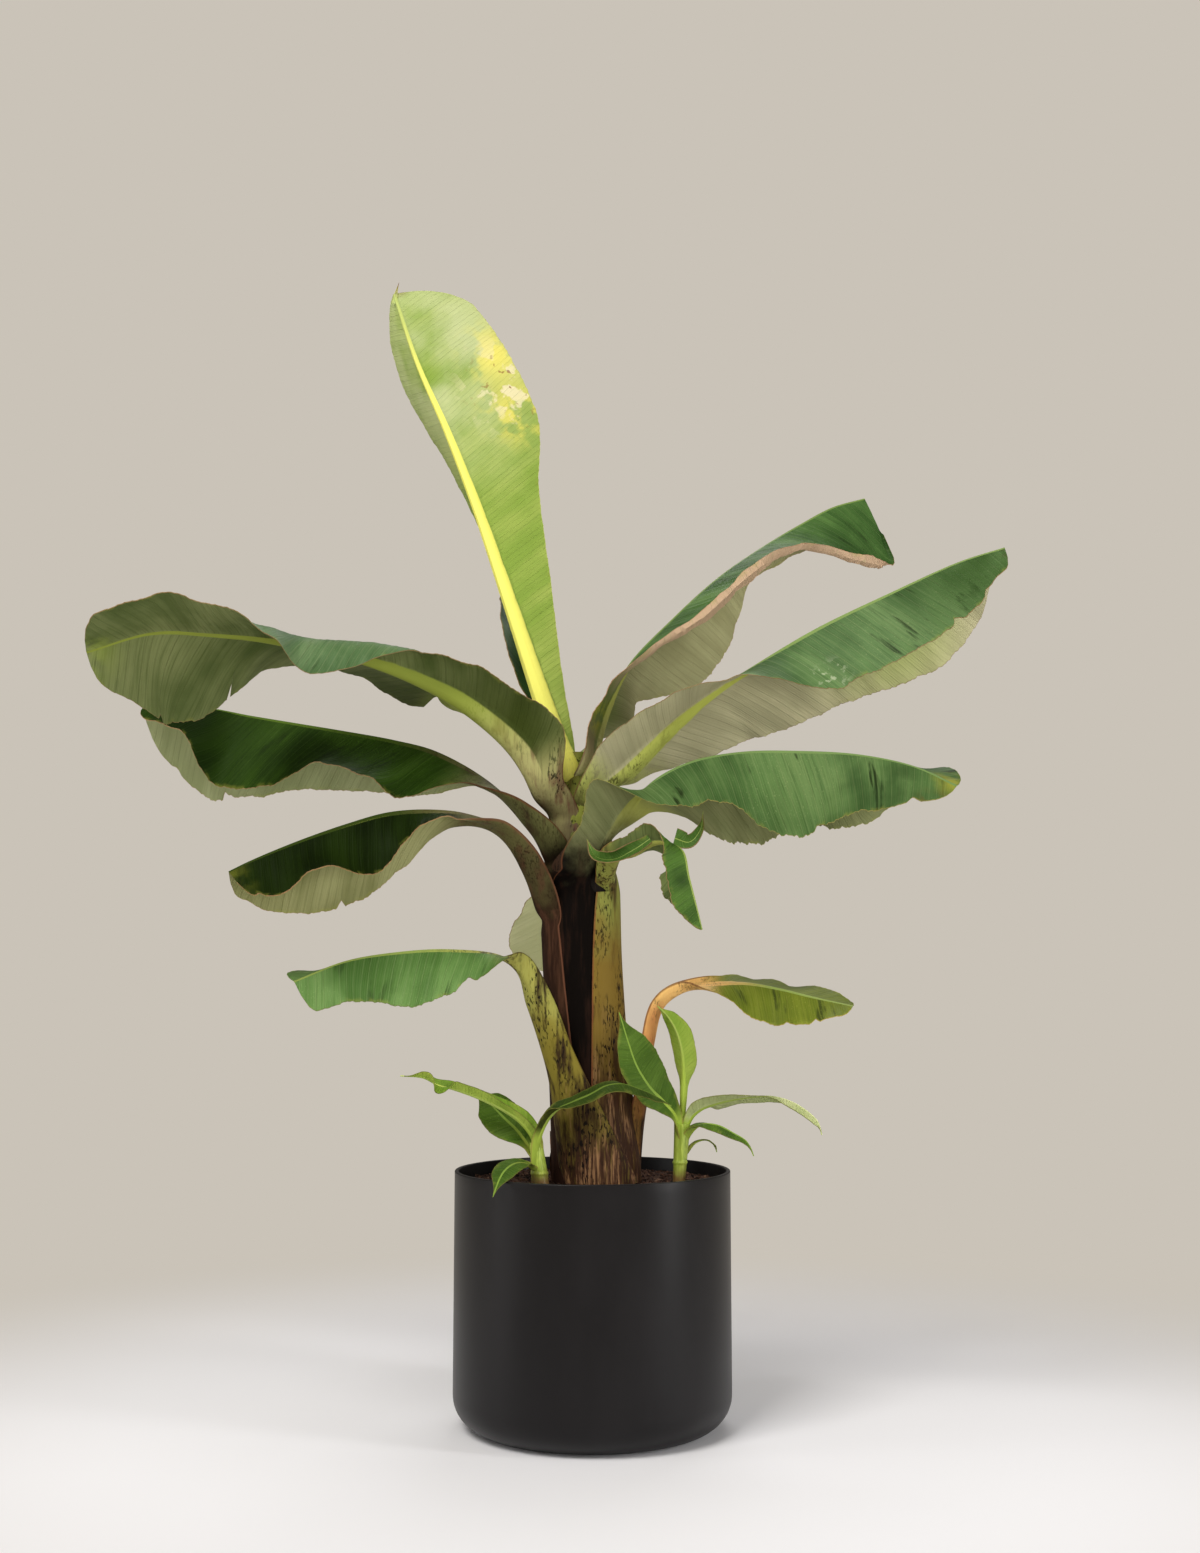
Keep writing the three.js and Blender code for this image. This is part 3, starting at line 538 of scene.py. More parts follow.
@dataclass(frozen=True)
class LeafFinish:
    """Colours of a blade above and below, of its midrib and margin, and of its stalk.

    The hem is a strip along the right half's margin, so many mm wide, of its own colour underneath.
    """

    CLOUD = Grain(9.0, 4.0)
    STREAKS = Grain(300.0, 5.0, 0.65, (1.0, 0.05, 1.0))
    BANDS = Grain(34.0, 4.0, drawn=(1.0, 0.12, 1.0), shift=(3.0, 1.0, 0.0))
    DRIFT = Grain(60.0, drawn=(1.0, 0.2, 1.0), shift=(7.0, 5.0, 0.0))
    DASHES = Grain(48.0, 3.0, drawn=(1.0, 0.3, 1.0), shift=(1.0, 9.0, 0.0))
    DUST = Grain(520.0, 3.0)
    RAGGED = Grain(60.0, 4.0)
    FIBRES = Grain(420.0, 3.0, drawn=(0.05, 1.0, 1.0))
    DASH_COLOUR = srgb(26, 36, 14)
    HAIRS_A_VEIN = 3.3
    HEM_FADE = 8.0
    FADING_WIDTH = (0.5, 6.0)
    MARGIN_WIDTH = (0.9, 1.5)
    RELIEF = 0.6

    name: str
    upper: Colour = srgb(96, 122, 60)
    upper_dark: Colour = srgb(50, 74, 26)
    # Pale tone of the upper face: partly the leaf's own waxy bloom, partly painted sheen.
    bloom_and_sheen: Colour = srgb(134, 152, 104)
    bloom_and_sheen_share: float = 0.35
    under: Colour = srgb(162, 160, 118)
    under_dark: Colour = srgb(134, 132, 92)
    hem: Colour = srgb(170, 150, 110)
    hem_width: float = 0.0
    rib_upper: Colour = srgb(138, 156, 78)
    rib_under: Colour = srgb(168, 172, 84)
    margin: Colour = srgb(140, 112, 76)
    fading: Colour = srgb(160, 160, 70)
    fading_share: float = 0.25
    roughness: Range = (0.5, 0.66)
    gloss: float = 0.1
    vein: float = 9.0
    dashes: float = 0.5
    stalk: StalkFinish = StalkFinish()
    blotches: tuple[Blotch, ...] = ()

    def material(self) -> bpy.types.Material:
        """Builds the two-sided finish.

        Side veins are lines of equal u, the UV map's first number, which is the distance along the
        midrib less a slant for the distance across. Streaks are noise drawn out along them. The marks
        say how near the midrib and the margin are, and where the blade gives way to its stalk.

        Returns:
            The material.
        """
        shade = Shade(self.name)
        place = shade.place()
        veins = shade.add("ShaderNodeUVMap", {"uv_map": "veins"})
        u, _, _ = shade.parts(veins)
        upper, rib, edge = shade.mark("upper"), shade.mark("rib"), shade.mark("edge")
        cloud = shade.noise(place, self.CLOUD)
        streaks = shade.noise(veins, self.STREAKS)
        bands = shade.noise(veins, self.BANDS)
        drift = shade.noise(veins, self.DRIFT)
        turns = (u + drift * (0.5 * self.vein * MM)) * (2 * math.pi / (self.vein * MM))
        lines = turns.sine().ease(0.78, 1.0)
        hairs = (turns * self.HAIRS_A_VEIN).sine().ease(0.3, 1.0)

        above = shade.mix(self.upper_dark, self.upper, (cloud * 0.7 + bands * 0.5).ease(0.42, 0.74))
        # Painted sheen, partly real waxy bloom: pale patches where the bands and clouds are light.
        bloom_and_sheen = bands.ease(0.48, 0.72) * cloud.ease(0.35, 0.7) * self.bloom_and_sheen_share
        above = shade.mix(above, self.bloom_and_sheen, bloom_and_sheen)
        above = shade.mix(above, self.upper_dark, streaks.ease(0.48, 0.7) * 0.6)
        above = shade.mix(above, self.bloom_and_sheen, lines * 0.14 + hairs * 0.08)
        dash = shade.noise(veins, self.DASHES).ease(0.6, 0.68)
        above = shade.mix(above, self.DASH_COLOUR, dash * streaks.ease(0.35, 0.6) * self.dashes)
        dust = shade.noise(place, self.DUST).ease(0.62, 0.7) * cloud.ease(0.4, 0.6)
        above = shade.mix(above, self.bloom_and_sheen, dust * 0.4)

        beneath = shade.mix(self.under_dark, self.under, (cloud * 0.6 + bands * 0.5).ease(0.4, 0.72))
        beneath = shade.mix(beneath, self.under_dark, streaks.ease(0.48, 0.72) * 0.6)
        beneath = shade.mix(beneath, self.under_dark, lines * 0.3 + hairs * 0.12)
        if self.hem_width:
            past = (edge + bands * self.HEM_FADE).ease(self.hem_width, self.hem_width + self.HEM_FADE)
            hem = shade.mark("right") * (1.0 - past)
            beneath = shade.mix(beneath, self.hem, hem * (1.0 - streaks.ease(0.5, 0.75) * 0.5))

        ridge = shade.mix(self.rib_under, self.rib_upper, upper)
        skins = {Skin.UPPER: above, Skin.UNDER: beneath, Skin.RIB: ridge}
        for blotch in self.blotches:
            ragged = shade.noise(place, Grain(blotch.grain, 4.0)).ease(*blotch.cover)
            share = shade.near(place, blotch.centre, blotch.radius) * ragged * blotch.strength
            skins[blotch.skin] = shade.mix(skins[blotch.skin], blotch.colour, share)
        blade = shade.mix(skins[Skin.UNDER], skins[Skin.UPPER], upper)
        ragged = shade.noise(place, self.RAGGED)
        faded = (1.0 - edge.ease(*self.FADING_WIDTH)) * ragged.ease(0.5, 0.62) * self.fading_share
        blade = shade.mix(blade, self.fading, faded)
        inside = (edge + ragged * 1.4).ease(*self.MARGIN_WIDTH)
        blade = shade.mix(blade, self.margin, (1.0 - inside) * 0.8)

        stalk = self.stalk.colour(shade, place, edge)
        covered = rib.ease(0.0, 0.16).at_least(shade.mark("sheath"))
        colour = shade.mix(blade, shade.mix(skins[Skin.RIB], stalk, shade.mark("stalk")), covered)
        sleek, dull = self.roughness
        roughness = dull - upper * (dull - sleek) + (streaks - 0.5) * 0.2
        veined = (lines * 0.5 + hairs * 0.2 + streaks * 0.7) * (1.0 - covered)
        relief = veined + shade.noise(veins, self.FIBRES) * covered * 0.6
        return shade.finish(colour, roughness, relief, self.RELIEF, {"Specular IOR Level": self.gloss})


@dataclass(frozen=True)
class Half:
    """One half of a leaf: width in mm, angle off the midrib and further turn in degrees, by station.

    The last value of a list holds up to the tip. The roll is what the outer part of the width, the
    rolled share, turns on top of that, in values spread evenly over the leaf.
    """

    width: tuple[float, ...]
    fold: tuple[float, ...]
    turn: tuple[float, ...]
    roll: tuple[float, ...] = (0, 0)
    rolled: float = 0.3


@dataclass(frozen=True)
class Sheath:
    """How a leaf's foot wraps the stem: its bearing, heights, place outwards and half angles of wrap."""

    bearing: float
    low: float
    high: float
    layer: float
    wrap: Range = (90.0, 72.0)


class Side(Enum):
    """A half of a leaf, by its sense along the side direction."""

    LEFT = -1
    RIGHT = 1


@dataclass(frozen=True)
class Tear:
    """A notch in the margin: half, station, share of the width that it takes, and reach to both sides.

    The reach is in mm, towards the foot and towards the tip.
    """

    side: Side
    station: float
    depth: float
    reach: Range = (3.0, 3.0)


@dataclass(frozen=True)
class LeafShape:
    """One leaf along its midrib, in mm, with its upper face turned the way that facing gives.

    Left and right are the halves as seen along the midrib to the tip with the upper face up. The
    blade starts at its own station in either half, and what comes before is stalk and sheath. Scraps
    are torn lobes and dry points that hang on the leaf, each swept like a leaf of its own.
    """

    rib: tuple[Point, ...]
    facing: tuple[Point, ...]
    left: Half
    right: Half
    tip: Range
    blade_from: Range
    sheath: Sheath | None = None
    keel: Range = (8.0, 1.6)
    stalk: Range = (6.0, 2.2)
    ruffle: float = 3.0
    uneven: float = 0.02
    flute: float = 0.35
    thickness: float = 0.45
    seed: int = 1
    tears: tuple[Tear, ...] = ()
    scraps: tuple["LeafShape", ...] = ()


@dataclass(frozen=True)
class StemShape:
    """Centre line and radius of the false stem, at even heights from the soil to the crown."""

    foot: float = 262.3
    top: float = 742.0
    x: tuple[float, ...] = (4, -1, -7, -12, -15, -17, -20)
    y: tuple[float, ...] = (2, 3, 3, 4, 6, 8, 10)
    radius: tuple[float, ...] = (44, 41, 39, 39, 40, 34, 14)
    sheath_depth: float = 2.5

    def station(self, z: Array) -> Array:
        """Height as a place in the lists."""
        return (z - self.foot) / (self.top - self.foot) * (len(self.radius) - 1)

    def centre(self, z: Array) -> Array:
        """Points of the centre line at the given heights."""
        at = self.station(z)
        return np.stack([keyed(self.x, at), keyed(self.y, at), z], -1)

    def core(self, z: Array) -> Array:
        """Radius of the stem under its outer sheaths."""
        return keyed(self.radius, self.station(z)) - self.sheath_depth

    def skin(self, z: Array, layer: float) -> Array:
        """Radius of the stem over its outer sheaths, raised by a layer."""
        return self.core(z) + self.sheath_depth + layer


class Leaf:
    """Sheath, stalk and blade of one leaf as a closed thin shell, swept along the midrib.

    Waves and the step between the leaves' UV maps are in mm, spans and fades in stations.
    """

    SHEATH_POINTS = 3
    SHEATH_SPAN = (-3, -1, 0)
    NECK_WRAP = 0.85
    TIP_SHARE = 0.9995
    SAMPLES = 60
    CROWDING = 1.5
    SLANT = 0.45
    BLADE_LEAD = 0.4
    BLADE_FADE = 0.9
    STALK_FADE = 2.0
    STALK_SPAN = (-0.3, 0.8)
    MARGIN_WAVES = (47.0, 23.0, 11.0, 6.1)
    RUFFLES = (83.0, 58.0, 37.0)
    RUFFLE_POWER = 2.2
    FLUTES = (17.0, 11.5, 7.3)
    KEEL_SHARE = 0.6
    KEEL_POWER = 1.4
    UV_STEP = 500.0

    def __init__(self, shape: LeafShape, stem: StemShape, columns: int = 18,
                 row_step: float = 2.2) -> None:
        """Lays out the midrib and the way that the upper face looks.

        Args:
            shape: the leaf.
            stem: the stem that its sheath wraps.
            columns: steps from the midrib to each margin.
            row_step: distance between rows, in mm.
        """
        self.shape = shape
        self.stem = stem
        self.lead = self.SHEATH_POINTS if shape.sheath else 0
        points = np.array(shape.rib, dtype=float)
        listed = np.array(shape.facing, dtype=float)
        places = np.linspace(0, len(listed) - 1, len(points))
        facing = unit(np.stack([np.interp(places, np.arange(len(listed)), axis) for axis in listed.T], -1))
        if shape.sheath:
            out = level(math.radians(shape.sheath.bearing))
            z = np.linspace(shape.sheath.low, shape.sheath.high, self.lead)
            reach = stem.skin(z, shape.sheath.layer)
            points = np.vstack([stem.centre(z) + out * reach[:, None], points])
            facing = np.vstack([np.tile(-out, (self.lead, 1)), facing])
        dense = np.linspace(0, len(points) - 1, self.SAMPLES * len(points))
        steps = np.linalg.norm(np.diff(spline(points, dense), axis=0), axis=1)
        travelled = np.concatenate([[0.0], np.cumsum(steps)])
        end = travelled[-1] * self.TIP_SHARE
        self.along = np.linspace(0, end, int(end / row_step))
        at = np.interp(self.along, travelled, dense)
        self.station = at - self.lead
        self.last = len(shape.rib) - 1
        self.origin = spline(points, at)
        if shape.sheath:
            self.origin += (self._pressed() - self.origin) * smooth(-self.station)[:, None]
        tangent = unit(np.gradient(self.origin, self.along, axis=0))
        looks = np.stack([keyed(tuple(axis), at) for axis in facing.T], -1)
        self.up = unit(looks - (looks * tangent).sum(-1, keepdims=True) * tangent)
        self.side = np.cross(tangent, self.up)
        self.shares = np.linspace(0, 1, columns + 1) ** self.CROWDING

    @classmethod
    def small(cls, shape: LeafShape, stem: StemShape) -> "Leaf":
        """Lays out a scrap or a shoot's leaf, with fewer steps across and shorter ones along."""
        return cls(shape, stem, columns=8, row_step=1.2)

    def _pressed(self) -> Array:
        """Moves the midrib's points level to the stem's surface, raised by the sheath's layer.

        Up to the sheath's top they stand on its bearing, and above it they ease over to their own.

        Returns:
            The points, one a row.
        """
        z = self.origin[:, 2]
        centre = self.stem.centre(z)
        reach = self.stem.skin(z, self.shape.sheath.layer)
        fixed = level(math.radians(self.shape.sheath.bearing))
        out = fixed + (unit(self.origin - centre) - fixed) * smooth(1 + self.station)[:, None]
        return centre + unit(out) * reach[:, None]

    def _closing(self) -> Array:
        """Width left towards the tip: (1 - x^p)^(1/p), where x runs over the tip's length."""
        length, power = self.shape.tip
        x = np.clip((self.station - self.last + length) / length, 0, 1)
        return (1 - x**power) ** (1 / power)

    def _blade(self, side: Side) -> Array:
        """Runs from 0 on the stalk to 1 on the blade."""
        start = self.shape.blade_from[side is Side.RIGHT]
        return smooth((self.station - start + self.BLADE_LEAD) / self.BLADE_FADE)

    def _width(self, half: Half, side: Side) -> Array:
        """Width of a half along the leaf, with an uneven margin and its tears."""
        waves = ripples(self.along, self.MARGIN_WAVES, self.shape.seed + side.value)
        uneven = self.shape.uneven * waves
        width = keyed(half.width, self.station) * self._closing() * (1 + uneven * self._blade(side))
        for tear in self.shape.tears:
            if tear.side is side:
                past = self.along - np.interp(tear.station, self.station, self.along)
                reach = np.where(past < 0, *tear.reach)
                width *= 1 - tear.depth * np.clip(1 - np.abs(past) / reach, 0, 1)
        return width

    def _half(self, half: Half, side: Side) -> tuple[Array, Array, Array]:
        """Sweeps one half of the cross-section.

        The angle to the side direction starts at fold, grows by turn out to the margin and eases by
        roll over the rolled share. Its cosine and sine, summed over the steps across, give the point.
        On the stem, the half is an arc of the stem's radius instead. The margin ruffles along its
        normal.

        Args:
            half: the half's lists.
            side: which half it is.

        Returns:
            Points, normals and distances across, rows by columns.
        """
        width = self._width(half, side)
        fold = np.radians(keyed(half.fold, self.station))
        turn = np.radians(keyed(half.turn, self.station))
        roll = np.radians(keyed(half.roll, self.station * (len(half.roll) - 1) / self.last))
        sheath = self.shape.sheath
        if sheath:
            on_stem = smooth(-self.station)
            wraps = (*sheath.wrap, sheath.wrap[1] * self.NECK_WRAP)
            wrap = np.radians(np.interp(self.station, self.SHEATH_SPAN, wraps))
            radius = self.stem.skin(self.origin[:, 2], sheath.layer)
            width = width + (radius * wrap - width) * on_stem
            fold = fold * (1 - on_stem)
            turn = turn + (wrap - turn) * on_stem
        middles = (self.shares[1:] + self.shares[:-1]) / 2
        angle, middle_angle = (fold[:, None] + turn[:, None] * share
                               + roll[:, None] * smooth((share - 1 + half.rolled) / half.rolled)
                               for share in (self.shares, middles))
        step = width[:, None] * np.diff(self.shares)
        start = np.zeros((len(width), 1))
        out, lift = (np.hstack([start, np.cumsum(part * step, axis=1)])[..., None]
                     for part in (np.cos(middle_angle), np.sin(middle_angle)))
        angle = angle[..., None]
        up, outwards = self.up[:, None], side.value * self.side[:, None]
        normals = up * np.cos(angle) - outwards * np.sin(angle)
        across = width[:, None] * self.shares
        blade = self._blade(side)[:, None]
        waves = ripples(self.along, self.RUFFLES, self.shape.seed * 7 + side.value)[:, None]
        ruffle = self.shape.ruffle * waves * self._closing()[:, None] * self.shares**self.RUFFLE_POWER
        slanted = self.along[:, None] - self.SLANT * across
        folds = ripples(slanted, self.FLUTES, self.shape.seed)
        flutes = self.shape.flute * folds * smooth(self.shares * 4)
        swell = ((ruffle + flutes) * blade)[..., None]
        points = self.origin[:, None] + outwards * out + up * lift + normals * swell
        return points, normals, across

    def surface(self) -> Surface:
        """Joins both halves at the midrib and closes them.

        Under the midrib is a keel, whose depth at a distance d from the midrib is
        0.6 w sqrt(1 - (d/w)²), where w is its half width there. It dies out where the leaf meets the
        stem. A stalk is thick all over, by its own thickness times sqrt(1 - (d/width)²), and thinner
        where it wraps the stem.

        Returns:
            The closed surface with its UV map and marks.
        """
        shape = self.shape
        left = self._half(shape.left, Side.LEFT)
        right = self._half(shape.right, Side.RIGHT)
        points, normals, across = (np.concatenate([a[:, ::-1], b[:, 1:]], axis=1)
                                   for a, b in zip(left, right))
        middle = len(self.shares) - 1
        normals[:, middle] = unit(left[1][:, 0] + right[1][:, 0])
        spans = [middle, middle + 1]
        widths = np.repeat([left[2][:, -1], right[2][:, -1]], spans, axis=0).T
        blade = np.repeat([self._blade(Side.LEFT), self._blade(Side.RIGHT)], spans, axis=0).T
        start = min(shape.blade_from)
        run = np.clip((self.station - start) / (self.last - start), 0, 1)
        thick, fine = shape.keel
        keel = (fine + (thick - fine) * (1 - run) ** self.KEEL_POWER)[:, None]
        body = np.interp(self.station, self.STALK_SPAN, shape.stalk[::-1])[:, None]
        arch = np.sqrt(np.clip(1 - (across / np.maximum(widths, 0.1)) ** 2, 0, 1))
        depth = self.KEEL_SHARE * keel * np.sqrt(np.clip(1 - (across / keel) ** 2, 0, 1))
        if shape.sheath:
            depth *= smooth(1 + self.station)[:, None]
        depth += (np.maximum(body * arch, depth) - depth) * (1 - blade)
        thin = np.full_like(across, shape.thickness)
        vertices, quads = shell(points, normals, thin, thin + depth)
        outwards = np.repeat([Side.LEFT.value, Side.RIGHT.value], spans)
        slanted = self.along[:, None] - self.SLANT * across
        shifted = outwards * across + self.UV_STEP * (shape.seed % 7)
        uv = np.stack([slanted, shifted], -1).reshape(-1, 2) * MM
        fading = 1 - smooth((self.station - start) / self.STALK_FADE)
        marks = {"rib": 1 - across / keel, "edge": widths - across, "sheath": 1 - blade,
                 "right": np.broadcast_to(outwards > 0, across.shape).astype(float),
                 "stalk": np.broadcast_to(fading[:, None], across.shape)}
        doubled = {name: np.tile(values.ravel(), 2) for name, values in marks.items()}
        doubled["upper"] = np.repeat([1.0, 0.0], across.size)
        surface = Surface(vertices, [quads], np.tile(uv, (2, 1)), doubled)
        for scrap in shape.scraps:
            surface = surface.joined(Leaf.small(scrap, self.stem).surface())
        return surface


STEM = StemShape()

SCRAP = LeafShape(rib=(), facing=(), left=Half((), (), ()), right=Half((), (), ()), tip=(1.0, 1.3),
                  blade_from=(-3.0, -3.0), keel=(0.8, 0.4), ruffle=0.6, flute=0.1)

DRY_POINT = replace(
    SCRAP, rib=((-243, 70, 1300), (-240, 69, 1312), (-236, 68, 1326)), facing=((0, 1, 0),),
    left=Half((6, 2.4, 0.8), (0, 0), (0, 0)), right=Half((2, 1.6, 0.8), (0, 0), (0, 0)), seed=31,
)

CRUMPLED_SCRAPS = (
    replace(
        SCRAP, rib=((62, -106, 634), (44, -104, 622), (22, -104, 612), (4, -104, 615), (-6, -102, 634)),
        facing=((0, -1, 0.5), (0, -1, 0.4), (0.3, -1, 0.2)),
        left=Half((6, 10, 11, 9, 3), (10, 20, 30, 30, 10), (20, 30, 40, 30, 0)),
        right=Half((6, 9, 10, 8, 3), (0, 10, 20, 20, 10), (20, 40, 50, 30, 0)), seed=32,
    ),
    replace(
        SCRAP, rib=((88, -114, 634), (104, -114, 630), (116, -112, 644), (119, -110, 664)),
        facing=((0.2, -1, 0.4), (-0.4, -1, 0.2)),
        left=Half((12, 9, 5, 1), (0, 10, 10, 0), (20, 20, 10, 0)),
        right=Half((8, 7, 4, 1), (-20, 0, 10, 0), (10, 20, 10, 0)), seed=33,
    ),
)

